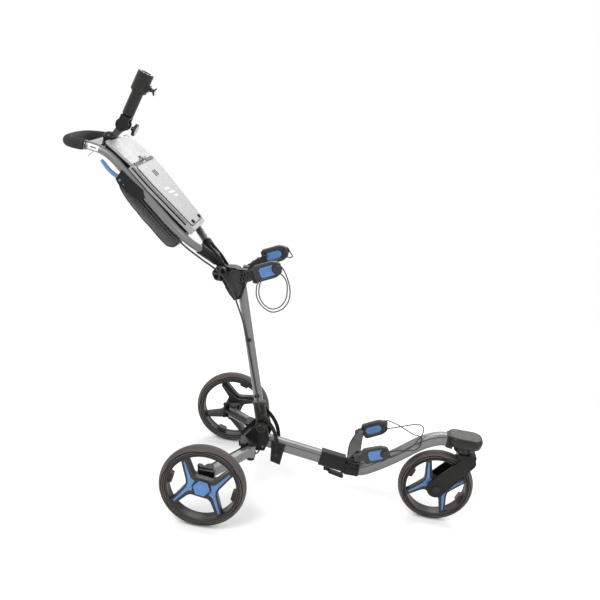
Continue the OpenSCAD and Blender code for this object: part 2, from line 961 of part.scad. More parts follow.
module umbrella_tube() {
    color("#202022")
        on_umbrella()
            difference() {
                union() {
                    translate([0, 0, 28])
                        cylinder(h = 142, d = umbrella_bore_d + 8);
                    translate([0, 0, 108])
                        cylinder(h = 62, d = umbrella_bore_d + 22);
                    translate([0, -14, screw_height + 8])
                        cube([30, 28, 24]);
                }
                translate([0, 0, 34])
                    cylinder(h = 150, d = umbrella_bore_d);
                translate([10, 0, screw_height + 20])
                    rotate([0, 90, 0])
                        cylinder(h = 30, r = 4 + run);
            }
}

module umbrella_screw() {
    color("#1a1a1c")
        on_umbrella()
            translate([0, 0, screw_height + 20]) {
                translate([16, 0, 0])
                    rotate([0, 90, 0])
                        cylinder(h = 22, r = 4);
                translate([36, -4.5, -14])
                    cube([12, 9, 28]);
            }
}

// ---- upper cradle ----

module upper_arm(s) {
    steps = [[-131, 33, 730, 40], [-121, 46, 738, 44], [-109, 60, 748, 46], [-97, 73, 759, 48]];
    color("#1e1e20")
        on_side(s)
            difference() {
                union() {
                    translate(upper_root - [0, 0, 19.4])
                        cylinder(h = 38.8, r = 10.5);
                    for (p = steps)
                        translate([p[0], p[1], p[2]])
                            rotate([0, 0, p[3]])
                                cube([19, 17, 36], center = true);
                    translate(upper_elbow - [0, 0, 18])
                        cylinder(h = 36, r = 9);
                }
                translate(upper_root - [0, 0, 30])
                    cylinder(h = 60, r = 5 + run);
                translate(upper_elbow - [0, 0, 24])
                    cylinder(h = 60, r = 3.5 + run);
            }
}

module upper_paddle(s) {
    lift = s > 0 ? 6 : 0;
    at = [-54, 95, 782 + lift];
    color("#232325")
        on_side(s)
            difference() {
                union() {
                    paddle(at, 26, 0.1);
                    translate(upper_elbow - [0, 0, 24])
                        cylinder(h = 48, r = 3.5);
                    for (z = [-24.6, 18.6])
                        translate(upper_elbow + [-8, -5, z])
                            cube([20, 11, 6]);
                }
                translate(upper_elbow - [0, 0, 18.6])
                    difference() {
                        cylinder(h = 37.2, r = 12);
                        translate([0, 0, -1])
                            cylinder(h = 40, r = 3.5);
                    }
            }
}

module bungee(path, ref) {
    color("#4a4038")
        sweep(smooth(path, 3), cord_d, ref = ref, sides = 8);
}

hub_casting();
hub_plates();
fold_pin();
main_tube();
tube_collar();
front_tube();
lower_cradle();
lower_paddle_right();
lower_paddle_left();
caster_head();
collar_lever();
slider_bracket();
fold_links();
shaft_clamp();
shaft_tube();
hinge_body();
shaft_cable();
arm(-1);  // arm_right
arm(1);  // arm_left
rod(-1);  // rod_right
rod(1);  // rod_left
knuckle(-1);  // knuckle_right
knuckle(1);  // knuckle_left
wheel_at(rear_x, -wheel_y, rear_r, 1, 38) tyre(rear_r);  // tyre_right
wheel_at(rear_x, -wheel_y, rear_r, 1, 38) rim(rear_r);  // rim_right
wheel_at(rear_x, -wheel_y, rear_r, 1, 38) trim(rear_r);  // trim_right
wheel_at(rear_x, -wheel_y, rear_r, 1, 38) bearings();  // bearings_right
wheel_at(rear_x, wheel_y, rear_r, -1, -28) tyre(rear_r);  // tyre_left
wheel_at(rear_x, wheel_y, rear_r, -1, -28) rim(rear_r);  // rim_left
wheel_at(rear_x, wheel_y, rear_r, -1, -28) trim(rear_r);  // trim_left
wheel_at(rear_x, wheel_y, rear_r, -1, -28) bearings();  // bearings_left
wheel_at(front_x, 0, front_r, 1, 24) tyre(front_r);  // tyre_front
wheel_at(front_x, 0, front_r, 1, 24) bored() rim(front_r);  // rim_front
wheel_at(front_x, 0, front_r, 1, 24) bored() trim(front_r);  // trim_front
wheel_at(front_x, 0, front_r, 1, 24) bearings();  // bearings_front
caster_fork();
front_axle();
yoke();
handle_tube();
grip();
accessory_plate();
console_base();
console_lid();
lid_latch();
pouch();
brake_bracket();
brake_lever();
handle_cable();
hinge_knob();
umbrella_knuckle();
umbrella_knob();
umbrella_tube();
umbrella_screw();
upper_arm(-1);  // upper_arm_right
upper_arm(1);  // upper_arm_left
upper_paddle(-1);  // upper_paddle_right
upper_paddle(1);  // upper_paddle_left
bungee(upper_loop, [0, 1, 0]);  // bungee_upper_right
bungee(upper_wrap, [0, 1, 0]);  // bungee_upper_left
bungee(lower_loop, [-0.3, 1, 1]);  // bungee_lower
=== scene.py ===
"""Looks of the golf push trolley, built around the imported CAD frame. Metres, +X forward, +Z up."""

import json
import math

import bmesh
import bpy
from mathutils import Matrix, Vector
from mathutils.bvhtree import BVHTree


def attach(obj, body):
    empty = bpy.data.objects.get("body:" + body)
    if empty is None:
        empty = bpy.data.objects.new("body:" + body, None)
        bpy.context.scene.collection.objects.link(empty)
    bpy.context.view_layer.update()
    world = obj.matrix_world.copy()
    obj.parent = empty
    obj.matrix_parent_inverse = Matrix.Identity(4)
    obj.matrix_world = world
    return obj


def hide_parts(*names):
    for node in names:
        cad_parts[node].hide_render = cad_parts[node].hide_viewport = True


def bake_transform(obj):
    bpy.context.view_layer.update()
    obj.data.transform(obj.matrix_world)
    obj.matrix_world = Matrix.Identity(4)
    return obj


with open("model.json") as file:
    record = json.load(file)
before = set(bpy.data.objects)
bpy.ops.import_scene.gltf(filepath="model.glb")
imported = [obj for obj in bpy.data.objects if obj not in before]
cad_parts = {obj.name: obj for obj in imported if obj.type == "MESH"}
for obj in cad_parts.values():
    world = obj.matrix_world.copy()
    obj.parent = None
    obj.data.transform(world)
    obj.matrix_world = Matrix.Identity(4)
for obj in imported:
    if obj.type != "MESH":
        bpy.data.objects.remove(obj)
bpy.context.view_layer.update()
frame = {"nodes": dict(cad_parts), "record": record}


# ---------------------------------------------------------------- places

REAR_R = 0.135
FRONT_R = 0.125
REAR_X = -0.136
WHEEL_Y = 0.290
FRONT_X = 0.603
SWIVEL_X = 0.664
FOLD = Vector((-0.004, 0, 0.233))
HINGE = Vector((-0.205, 0, 0.731))
LEAN = 16.1
UMBRELLA = Vector((-0.562, 0, 1.131))
UMBRELLA_LEAN = 18.6
CORD_D = 0.0036
SIDES = ((-1, "right"), (1, "left"))


# ---------------------------------------------------------------- materials

def node_material(name):
    """A new material with its shader, and helpers to add nodes to it."""
    mat = bpy.data.materials.new(name)
    mat.use_nodes = True
    tree = mat.node_tree
    shader = tree.nodes["Principled BSDF"]
    return mat, tree, shader


def add_node(tree, kind, **values):
    node = tree.nodes.new(kind)
    for key, value in values.items():
        if key in node.inputs.keys():
            node.inputs[key].default_value = value
        else:
            setattr(node, key, value)
    return node


def object_coordinates(tree, scale=(1, 1, 1)):
    coords = tree.nodes.new("ShaderNodeTexCoord")
    mapping = tree.nodes.new("ShaderNodeMapping")
    mapping.inputs["Scale"].default_value = scale
    tree.links.new(coords.outputs["Object"], mapping.inputs["Vector"])
    return mapping.outputs["Vector"]


def dial(shader, **values):
    """Sets a shader's inputs, an underscore standing for a space."""
    for key, value in values.items():
        shader.inputs[key.replace("_", " ")].default_value = value


def ramp(tree, fac, stops):
    node = tree.nodes.new("ShaderNodeValToRGB")
    while len(node.color_ramp.elements) < len(stops):
        node.color_ramp.elements.new(0.5)
    for element, (place, colour) in zip(node.color_ramp.elements, stops):
        element.position = place
        element.color = (*colour, 1) if len(colour) == 3 else colour
    tree.links.new(fac, node.inputs["Fac"])
    return node.outputs["Color"]


def shade(colour, k):
    return tuple(min(1, c * k) for c in colour)


def combined(tree, operation, first, second):
    """Two values of a texture put together by one operation."""
    node = add_node(tree, "ShaderNodeMath", operation=operation)
    tree.links.new(first, node.inputs[0])
    tree.links.new(second, node.inputs[1])
    return node.outputs[0]


def finish_surface(tree, shader, height, strength, distance, edge=0.0008):
    """Bump from a height, over edges that are rounded by the shader."""
    bevel = add_node(tree, "ShaderNodeBevel", samples=4)
    bevel.inputs["Radius"].default_value = edge
    bump = add_node(tree, "ShaderNodeBump", Strength=strength, Distance=distance)
    tree.links.new(height, bump.inputs["Height"])
    tree.links.new(bevel.outputs["Normal"], bump.inputs["Normal"])
    tree.links.new(bump.outputs["Normal"], shader.inputs["Normal"])


def moulded(name, colour, rough, grain=900, bump=0.15, spread=0.25, specular=0.5, coat=0.0,
            metallic=0.0, stretch=(1, 1, 1), depth=0.0003, mottle=18):
    """Moulded, painted or rubbery surface: fine grain, uneven gloss and slow colour variation."""
    mat, tree, shader = node_material(name)
    vector = object_coordinates(tree, stretch)
    slow = add_node(tree, "ShaderNodeTexNoise", Scale=mottle, Detail=4.0, Roughness=0.6)
    fine = add_node(tree, "ShaderNodeTexNoise", Scale=grain, Detail=3.0, Roughness=0.55)
    for noise in (slow, fine):
        tree.links.new(vector, noise.inputs["Vector"])
    tree.links.new(ramp(tree, slow.outputs["Fac"], [
        (0.3, shade(colour, 1 - spread)), (0.55, colour), (0.75, shade(colour, 1 + spread))]),
        shader.inputs["Base Color"])
    tree.links.new(ramp(tree, fine.outputs["Fac"], [
        (0.3, (rough * 0.82,) * 3), (0.7, (min(1, rough * 1.15),) * 3)]), shader.inputs["Roughness"])
    dial(shader, Metallic=metallic, Specular_IOR_Level=specular, Coat_Weight=coat, Coat_Roughness=0.12)
    finish_surface(tree, shader, fine.outputs["Fac"], bump, depth)
    return mat


def celled(name, colour, rough, scale, bump, depth, edge=0.0008, dimple_shade=False):
    """Surface of small raised cells: cap, foam or tyre skin. With the last flag set the colour follows the cells:
    painted shade in their sunken middles, painted highlight on the ridges between them.
    """
    mat, tree, shader = node_material(name)
    vector = object_coordinates(tree)
    cells = add_node(tree, "ShaderNodeTexVoronoi", Scale=scale)
    slow = add_node(tree, "ShaderNodeTexNoise", Scale=14.0, Detail=5.0)
    for texture in (cells, slow):
        tree.links.new(vector, texture.inputs["Vector"])
    if dimple_shade:
        # Painted shade in the cells' sunken middles, painted highlight on their ridges.
        tone = ramp(tree, cells.outputs["Distance"], [(0.2, shade(colour, 0.2)), (0.45, shade(colour, 2.0))])
    else:
        tone = ramp(tree, slow.outputs["Fac"], [(0.3, shade(colour, 0.8)), (0.7, shade(colour, 1.25))])
    tree.links.new(tone, shader.inputs["Base Color"])
    tree.links.new(ramp(tree, cells.outputs["Distance"], [
        (0.0, (rough * 0.8,) * 3), (0.6, (min(1, rough * 1.1),) * 3)]), shader.inputs["Roughness"])
    finish_surface(tree, shader, cells.outputs["Distance"], bump, depth, edge)
    return mat


def woven(name, colour, pitch, rough=0.85):
    """Plain weave from crossed threads in object space."""
    mat, tree, shader = node_material(name)
    waves = []
    for scale in ((1, 0.2, 1), (0.05, 1, 0.05)):
        wave = add_node(tree, "ShaderNodeTexWave", Scale=pitch, Distortion=0.6, Detail=1.0)
        wave.bands_direction = "DIAGONAL" if scale[0] == 1 else "Y"
        tree.links.new(object_coordinates(tree, scale), wave.inputs["Vector"])
        waves.append(wave.outputs["Fac"])
    threads = combined(tree, "MAXIMUM", *waves)
    slow = add_node(tree, "ShaderNodeTexNoise", Scale=22.0, Detail=5.0)
    tone = combined(tree, "MULTIPLY", threads, slow.outputs["Fac"])
    tree.links.new(ramp(tree, tone, [
        (0.1, shade(colour, 0.5)), (0.65, shade(colour, 1.5))]), shader.inputs["Base Color"])
    dial(shader, Roughness=rough, Sheen_Weight=0.35, Sheen_Roughness=0.5)
    finish_surface(tree, shader, threads, 0.5, 0.0006, 0.001)
    return mat


def braided(name, colour):
    """Braided sheath of an elastic cord, from the tube's own U along it and V round it."""
    mat, tree, shader = node_material(name)
    coords = tree.nodes.new("ShaderNodeTexCoord")
    heights = []
    for turn in (1, -1):
        mapping = add_node(tree, "ShaderNodeMapping")
        mapping.inputs["Scale"].default_value = (90, 6, 1)
        mapping.inputs["Rotation"].default_value = (0, 0, turn * 0.6)
        tree.links.new(coords.outputs["UV"], mapping.inputs["Vector"])
        wave = add_node(tree, "ShaderNodeTexWave", Scale=1.0)
        tree.links.new(mapping.outputs["Vector"], wave.inputs["Vector"])
        heights.append(wave.outputs["Fac"])
    braid = combined(tree, "MAXIMUM", *heights)
    tree.links.new(ramp(tree, braid, [
        (0.2, shade(colour, 0.55)), (0.9, shade(colour, 1.35))]), shader.inputs["Base Color"])
    dial(shader, Roughness=0.75)
    finish_surface(tree, shader, braid, 0.6, 0.0004, 0.0002)
    return mat


BLACK = moulded("black_moulding", (0.0095, 0.0088, 0.0082), 0.42, grain=700, bump=0.2, specular=0.2)
SATIN_BLACK = moulded("satin_black", (0.011, 0.0102, 0.0095), 0.3, grain=900, bump=0.1, specular=0.32)
PADDLE = moulded("paddle_moulding", (0.024, 0.0235, 0.023), 0.42, grain=600, bump=0.18, specular=0.35)
GREY_METAL = moulded("grey_metallic_paint", (0.165, 0.165, 0.166), 0.36, grain=1600, bump=0.06, spread=0.08,
                     metallic=0.55, coat=0.25, mottle=9)
STEEL = moulded("zinc_plated_steel", (0.55, 0.55, 0.56), 0.28, grain=500, bump=0.08, spread=0.15, metallic=1.0,
                stretch=(1, 8, 1))
RIM = moulded("rim_moulding", (0.02, 0.018, 0.017), 0.42, grain=800, bump=0.15, specular=0.35)
BLUE = moulded("blue_moulding", (0.06, 0.165, 0.37), 0.34, grain=900, bump=0.08, spread=0.12, coat=0.2)
GLOSS = moulded("gloss_black", (0.012, 0.012, 0.013), 0.12, grain=300, bump=0.03, coat=0.8)
SILVER = moulded("silver_moulding", (0.29, 0.286, 0.293), 0.45, grain=1100, bump=0.1, spread=0.05, metallic=0.1,
                 mottle=8)
JACKET = moulded("cable_jacket", (0.012, 0.012, 0.012), 0.45, grain=400, bump=0.1)
TYRE = celled("tyre_skin", (0.052, 0.043, 0.038), 0.6, 900, 0.25, 0.0004)
# Near-black material laid in tyre grooves, tube grooves and knob recess floors: painted shade in them.
GROOVE_SHADE = moulded("painted_groove_shade", (0.008, 0.007, 0.0065), 0.8, grain=500, specular=0.15)
FOAM = celled("grip_foam", (0.016, 0.016, 0.017), 0.9, 650, 0.5, 0.0005)
# The cap's cells carry painted shade in their dimples and painted highlight on their ridges.
CAP = celled("grained_cap_dimple_shade", (0.056, 0.05, 0.05), 0.6, 210, 1.0, 0.0018, dimple_shade=True)
FABRIC = woven("pouch_weave", (0.042, 0.0395, 0.043), 420)
CORD = braided("cord_braid", (0.03, 0.022, 0.018))
LINING = moulded("cradle_lining_rubber", (0.115, 0.109, 0.106), 0.7, grain=500, bump=0.3, specular=0.3)
RIBS = moulded("grey_ribs", (0.2, 0.19, 0.185), 0.7, grain=500, bump=0.3, specular=0.3)
LABEL = moulded("printed_white", (0.8, 0.8, 0.8), 0.45, grain=600, bump=0.04, spread=0.03)

NODE_MATERIAL = {
    "black_plastic": BLACK, "paddle_plastic": PADDLE, "grey_metal": GREY_METAL, "steel": STEEL,
    "tyre_rubber": TYRE, "rim_plastic": RIM, "blue_plastic": BLUE, "cap_plastic": CAP, "foam": FOAM,
    "gloss_black": GLOSS, "silver_plastic": SILVER, "pouch_fabric": FABRIC, "cable_jacket": JACKET,
    "elastic_cord": CORD,
}


def dress_nodes():
    for part in frame["record"]["subparts"]:
        node = frame["nodes"][part["node"]]
        node.data.materials.clear()
        node.data.materials.append(NODE_MATERIAL[part["material_slot"]])


# ---------------------------------------------------------------- camera, floor and light

CAMERA_PLACE = (0.2709 + REAR_X, -2.4209, 1.4299)
CAMERA_TURNS = (-0.0336, 0.3005, 0.1652)
CAMERA_LENS = 47.94
FLOOR_FADE = (0.9, 2.2)


def make_camera():
    """The camera that sees the trolley from its right, a little from above, leaning clockwise."""
    yaw, pitch, roll = CAMERA_TURNS
    ahead = Vector((math.sin(yaw) * math.cos(pitch), math.cos(yaw) * math.cos(pitch), -math.sin(pitch)))
    right = ahead.cross(Vector((0, 0, 1))).normalized()
    up = right.cross(ahead)
    across = right * math.cos(roll) + up * math.sin(roll)
    up = up * math.cos(roll) - right * math.sin(roll)
    data = bpy.data.cameras.new("camera")
    data.lens = CAMERA_LENS
    data.sensor_width = 36
    camera = bpy.data.objects.new("camera", data)
    bpy.context.collection.objects.link(camera)
    rows = Matrix((across, up, -ahead)).transposed().to_4x4()
    camera.matrix_world = Matrix.Translation(CAMERA_PLACE) @ rows
    bpy.context.scene.camera = camera


def area_light(name, place, target, size, power):
    data = bpy.data.lights.new(name, "AREA")
    data.shape = "RECTANGLE"
    data.size, data.size_y = size
    data.energy = power
    lamp = bpy.data.objects.new(name, data)
    bpy.context.collection.objects.link(lamp)
    lamp.location = place
    lamp.rotation_euler = (Vector(target) - Vector(place)).to_track_quat("-Z", "Y").to_euler()


def make_stage():
    """Pale floor, pale surroundings and soft studio light."""
    mat, tree, shader = node_material("studio_floor")
    dial(shader, Base_Color=(0.93, 0.93, 0.93, 1), Roughness=0.9, Specular_IOR_Level=0.1)
    far_glow = add_node(tree, "ShaderNodeEmission", Strength=1.0)
    far_glow.inputs["Color"].default_value = (1, 1, 1, 1)
    reach = add_node(tree, "ShaderNodeVectorMath", operation="LENGTH")
    tree.links.new(tree.nodes.new("ShaderNodeNewGeometry").outputs["Position"], reach.inputs[0])
    fade = add_node(tree, "ShaderNodeMapRange")
    fade.inputs["From Min"].default_value, fade.inputs["From Max"].default_value = FLOOR_FADE
    fade.interpolation_type = "SMOOTHSTEP"
    tree.links.new(reach.outputs["Value"], fade.inputs["Value"])
    mix = tree.nodes.new("ShaderNodeMixShader")
    tree.links.new(fade.outputs["Result"], mix.inputs[0])
    tree.links.new(shader.outputs[0], mix.inputs[1])
    tree.links.new(far_glow.outputs[0], mix.inputs[2])
    tree.links.new(mix.outputs[0], tree.nodes["Material Output"].inputs["Surface"])
    bpy.ops.mesh.primitive_plane_add(size=40)
    floor = bpy.context.object
    floor.name = "studio_floor"
    floor.data.materials.append(mat)
    world = bpy.data.worlds.new("studio")
    world.use_nodes = True
    dial(world.node_tree.nodes["Background"], Color=(1, 1, 1, 1), Strength=1.0)
    bpy.context.scene.world = world
    area_light("key", (-1.2, -2.2, 3.0), (0, 0, 0.4), (1.6, 1.2), 55)
    area_light("fill", (2.6, -1.6, 1.6), (0.1, 0, 0.4), (1.4, 1.4), 20)
    area_light("back", (0.2, 2.6, 2.4), (0, 0, 0.6), (2.2, 1.0), 40)
    bpy.context.scene.view_settings.view_transform = "Standard"


make_camera()
make_stage()


# ---------------------------------------------------------------- shapes

def curve_point(a, b, c, d, t):
    return 0.5 * (2 * b + (c - a) * t + (2 * a - 5 * b + 4 * c - d) * t * t
                  + (3 * b - a - 3 * c + d) * t ** 3)


def smooth(path, steps):
    """A smooth curve through every point of a path."""
    points = [Vector(p) for p in path]
    ends = [points[0]] + points + [points[-1]]
    line = [curve_point(*ends[i:i + 4], k / steps) for i in range(len(points) - 1) for k in range(steps)]
    return line + [points[-1]]


def millimetres(path):
    return [Vector(p) / 1000 for p in path]


def new_object(name, mesh_data, material):
    obj = bpy.data.objects.new(name, mesh_data)
    bpy.context.collection.objects.link(obj)
    if material:
        mesh_data.materials.append(material)
    return obj


def from_bmesh(name, bm, material, smooth_angle=35):
    bmesh.ops.recalc_face_normals(bm, faces=bm.faces)
    data = bpy.data.meshes.new(name)
    bm.to_mesh(data)
    bm.free()
    obj = new_object(name, data, material)
    for face in data.polygons:
        face.use_smooth = True
    data.set_sharp_from_angle(angle=math.radians(smooth_angle))
    return obj


def apply_modifiers(obj):
    """Replaces the object's mesh by what its modifiers make of it."""
    bpy.context.view_layer.update()
    graph = bpy.context.evaluated_depsgraph_get()
    data = bpy.data.meshes.new_from_object(obj.evaluated_get(graph))
    obj.modifiers.clear()
    obj.data = data
    return obj


def bevelled(obj, width, segments=2, angle=30):
    mod = obj.modifiers.new("bevel", "BEVEL")
    mod.width = width
    mod.segments = segments
    mod.limit_method = "ANGLE"
    mod.angle_limit = math.radians(angle)
    mod.harden_normals = False
    return apply_modifiers(obj)


def circle_section(radius, sides=24):
    return [(radius * math.cos(2 * math.pi * k / sides), radius * math.sin(2 * math.pi * k / sides))
            for k in range(sides)]


def rounded_section(width, height, radius, steps=5):
    """Outline of a rounded rectangle."""
    points = []
    for quarter, (sx, sy) in enumerate(((1, 1), (-1, 1), (-1, -1), (1, -1))):
        cx, cy = sx * (width / 2 - radius), sy * (height / 2 - radius)
        for k in range(steps + 1):
            a = math.pi / 2 * (quarter + k / steps)
            points.append((cx + radius * math.cos(a), cy + radius * math.sin(a)))
    return points


def sweep(name, line, section, material, up=(0, 1, 0), caps=True, sizes=None, closed=False):
    """A solid swept along a line. The section's first axis lies across `up`, its second along it."""
    bm = bmesh.new()
    uv = bm.loops.layers.uv.new("UVMap")
    count = len(line)
    side = None
    rings, run, travelled = [], 0.0, []
    for i, point in enumerate(line):
        before = line[i - 1] if i or closed else point
        after = line[(i + 1) % count] if i < count - 1 or closed else point
        ahead = (after - before).normalized()
        if side is None:
            side = ahead.cross(Vector(up)).normalized()
        side = (side - ahead * side.dot(ahead)).normalized()
        rise = side.cross(ahead)
        k = sizes[i] if sizes else 1
        run += (point - line[i - 1]).length if i else 0
        travelled.append(run)
        rings.append([bm.verts.new(point + side * x * k + rise * y * k) for x, y in section])
    around = len(section)
    spans = range(count if closed else count - 1)
    for i in spans:
        j = (i + 1) % count
        for k in range(around):
            m = (k + 1) % around
            face = bm.faces.new((rings[i][k], rings[i][m], rings[j][m], rings[j][k]))
            ends = (travelled[i], travelled[i], travelled[j] if j else run, travelled[j] if j else run)
            turns = (k, k + 1, k + 1, k)
            for loop, u, v in zip(face.loops, ends, turns):
                loop[uv].uv = (u * 10, v / around)
    if caps and not closed:
        bm.faces.new(list(reversed(rings[0])))
        bm.faces.new(rings[-1])
    return from_bmesh(name, bm, material, 50)


def tube(name, path, diameter, material, up=(0, 1, 0), steps=6, sides=24):
    return sweep(name, smooth(path, steps), circle_section(diameter / 2, sides), material, up)


def prism(name, near, far, material, bevel, segments, clockwise=False):
    """A solid between two outlines that face each other, with rounded edges."""
    bm = bmesh.new()
    low, high = [bm.verts.new(p) for p in near], [bm.verts.new(p) for p in far]
    bm.faces.new(low if clockwise else low[::-1])
    bm.faces.new(high[::-1] if clockwise else high)
    for i in range(len(low)):
        j = (i + 1) % len(low)
        a, b = (j, i) if clockwise else (i, j)
        bm.faces.new((low[a], low[b], high[b], high[a]))
    obj = from_bmesh(name, bm, material)
    return bevelled(obj, bevel, segments) if bevel else obj


def plate(name, outline, y0, y1, material, bevel=0.001, segments=2):
    """An outline of X and Z extruded from y0 to y1."""
    near, far = [(x, y0, z) for x, z in outline], [(x, y1, z) for x, z in outline]
    return prism(name, near, far, material, bevel, segments, clockwise=True)


def slab(name, outline, z0, z1, material, bevel=0.001, segments=2, place=None):
    """An outline of X and Y extruded from z0 to z1, then placed."""
    near, far = [(x, y, z0) for x, y in outline], [(x, y, z1) for x, y in outline]
    obj = prism(name, near, far, material, bevel, segments)
    if place:
        obj.data.transform(place)
    return obj


def lathe(name, profile, material, place=None, segments=96, sharp=35, shape=None):
    """A profile of radius and height turned about Z. shape may move a point by its angle."""
    bm = bmesh.new()
    rings = []
    for k in range(segments):
        a = 2 * math.pi * k / segments
        ring = []
        for i, (r, z) in enumerate(profile):
            if shape:
                r, z = shape(i, a, r, z)
            ring.append(bm.verts.new((r * math.cos(a), r * math.sin(a), z)))
        rings.append(ring)
    for k in range(segments):
        here, there = rings[k], rings[(k + 1) % segments]
        for i in range(len(profile)):
            j = (i + 1) % len(profile)
            bm.faces.new((here[i], there[i], there[j], here[j]))
    bmesh.ops.remove_doubles(bm, verts=bm.verts, dist=1e-6)
    obj = from_bmesh(name, bm, material, sharp)
    if place:
        obj.data.transform(place)
    return obj


def shift(x, y, z):
    """A placement moved by millimetres."""
    return Matrix.Translation((x / 1000, y / 1000, z / 1000))


def spin(degrees, axis):
    return Matrix.Rotation(math.radians(degrees), 4, axis)


def polar(radius, degrees):
    return radius * math.cos(math.radians(degrees)), radius * math.sin(math.radians(degrees))


def rectangle(x0, x1, y0, y1):
    return [(x0, y0), (x1, y0), (x1, y1), (x0, y1)]


def mirrored_path(points, s):
    """A path in millimetres, on the left for s 1 and on the right for s -1, in metres."""
    return [(x / 1000, s * y / 1000, z / 1000) for x, y, z in points]


def flat_path(points, y=0.0):
    """A path of X and Z in millimetres, at one Y in metres, in metres."""
    return [(x / 1000, y, z / 1000) for x, z in points]


def join(name, objects):
    """One object from several, each keeping its material."""
    bpy.context.view_layer.update()
    for obj in bpy.context.selected_objects:
        obj.select_set(False)
    for obj in objects:
        obj.select_set(True)
    bpy.context.view_layer.objects.active = objects[0]
    bpy.ops.object.join()
    objects[0].name = name
    return objects[0]


def settle(obj, body, material_slot, *nodes):
    """Rides the piece on its body and hides the nodes that it replaces; material_slot is not used."""
    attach(obj, body)
    if nodes:
        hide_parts(*nodes)
    return obj


def cut_by(obj, cutter):
    """Takes one shape out of another."""
    mod = obj.modifiers.new("cut", "BOOLEAN")
    mod.object = cutter
    mod.solver = "EXACT"
    apply_modifiers(obj)
    bpy.data.objects.remove(cutter)
    return obj


def polish(node, body, slot_name, width=0.0012, segments=2, material=None, name=None):
    """The node's own shape with its edges rounded, in its place."""
    source = frame["nodes"][node]
    bm = bmesh.new()
    bm.from_mesh(source.data)
    bm.transform(source.matrix_world)
    bmesh.ops.remove_doubles(bm, verts=bm.verts, dist=1e-6)
    bmesh.ops.dissolve_limit(bm, angle_limit=math.radians(1), verts=bm.verts, edges=bm.edges)
    obj = from_bmesh(name or "fine_" + node, bm, material or NODE_MATERIAL[slot_name])
    bevelled(obj, width, segments, 28)
    return settle(obj, body, slot_name, node)


def placed(obj, matrix):
    obj.data.transform(matrix)
    if matrix.determinant() < 0:
        obj.data.flip_normals()
    return obj


def rounded_outline(points, radius, steps=4):
    """An outline in millimetres with its corners rounded, in metres."""
    result = []
    count = len(points)
    for i, (x, y) in enumerate(points):
        here = Vector((x, y))
        before, after = Vector(points[i - 1]), Vector(points[(i + 1) % count])
        cut = min(radius, (before - here).length * 0.45, (after - here).length * 0.45)
        start, end = here + (before - here).normalized() * cut, here + (after - here).normalized() * cut
        for k in range(steps + 1):
            t = k / steps
            p = start.lerp(here, t).lerp(here.lerp(end, t), t)
            result.append((p.x / 1000, p.y / 1000))
    return result


def loft(name, rings, material, sharp=35):
    """A closed body through rings that have the same number of points."""
    bm = bmesh.new()
    made = [[bm.verts.new(p) for p in ring] for ring in rings]
    for low, high in zip(made, made[1:]):
        for k in range(len(low)):
            m = (k + 1) % len(low)
            bm.faces.new((low[k], low[m], high[m], high[k]))
    bm.faces.new(list(reversed(made[0])))
    bm.faces.new(made[-1])
    return from_bmesh(name, bm, material, sharp)


def about_middle(outline, middle, kx, ky):
    """An outline made smaller about a point on its own X axis."""
    return [(middle + (x - middle) * kx, y * ky) for x, y in outline]


def turned(outline, degrees):
    c, s = math.cos(math.radians(degrees)), math.sin(math.radians(degrees))
    return [(x * c - y * s, x * s + y * c) for x, y in outline]


# ---------------------------------------------------------------- elastic cords

UPPER_LOOP = [
    (-76, -104, 754), (-77, -108, 744), (-79, -110, 728), (-74, -112, 700), (-54, -113, 674),
    (-22, -114, 661), (8, -114, 676), (24, -114, 706), (22, -113, 742), (8, -112, 776),
    (-8, -111, 800), (-22, -110.5, 808), (-34, -110.5, 799), (-33, -110.5, 790),
    (-22, -110.5, 786), (-6, -112, 780), (8, -114, 764), (14, -115.5, 742), (15, -117, 712),
    (2, -118, 685), (-22, -118, 672), (-48, -117, 681), (-66, -115, 704), (-71, -111, 728),
    (-70, -108, 744), (-69, -104, 754)]
FAR_POST = (-23.4, 802.9)
WRAP_R = 11.4
WRAP_TURNS = [(FAR_POST[0] + polar(WRAP_R, a)[0], 106.4 + (150 - a) / 140, FAR_POST[1] + polar(WRAP_R, a)[1])
              for a in range(150, -331, -30)]
UPPER_WRAP = [(-48, 104, 802), (-42, 106, 805.5)] + WRAP_TURNS + [
    (-6, 110, 799), (2, 109, 788), (-8, 107, 783), (-22, 106, 786), (-34, 104, 790)]
LOWER_LOOP = [
    (402, 86, 275), (414, 84, 284), (441, 66, 286), (470, 42, 284), (497, 21, 281),
    (511, 6, 286), (520, -12, 291), (524, -21, 282), (520, -24, 262), (505, -42, 255),
    (480, -60, 258), (452, -80, 263), (430, -95, 264), (412, -100.5, 262.2), (401, -100.5, 251),
    (411, -100.5, 239.6), (428, -98, 243), (459, -78, 254), (491, -52, 270), (515, -24, 292),
    (526, -2, 308), (523, 22, 314), (506, 40, 310), (480, 56, 293), (446, 74, 270),
    (424, 84, 257), (413, 86, 256)]


def make_cord(name, route, body, node):
    line = smooth(millimetres(route), 6)
    cord = sweep(name, line, circle_section(CORD_D / 2, 12), CORD, (0.2, 1, 0.3))
    settle(cord, body, "elastic_cord", node)


make_cord("cord_upper_right", UPPER_LOOP, "upper_paddle_right", "bungee_upper_right")
make_cord("cord_upper_left", UPPER_WRAP, "upper_paddle_left", "bungee_upper_left")
make_cord("cord_lower", LOWER_LOOP, "chassis", "bungee_lower")


# ---------------------------------------------------------------- wheels

LEAF_COUNT = 6
LEAF_ROWS = (7, 8, 9, 10)
# Profile rows whose faces are painted near-black: painted shade in the tyre's grooves and at its rim seat.
GROOVE_SHADE_ROWS = (0, 3, 4, 5, 7, 8, 9)
RIM_SHARE = 0.83
TYRE_HALF = 0.022


def leaf(angle):
    """How far the outer groove of a shoulder leaf stands off the inner one, from 0 to 1."""
    turn = (angle * LEAF_COUNT / (2 * math.pi)) % 1
    across = (turn - 0.5) / 0.44
    return math.sqrt(max(0.0, 1 - across * across))


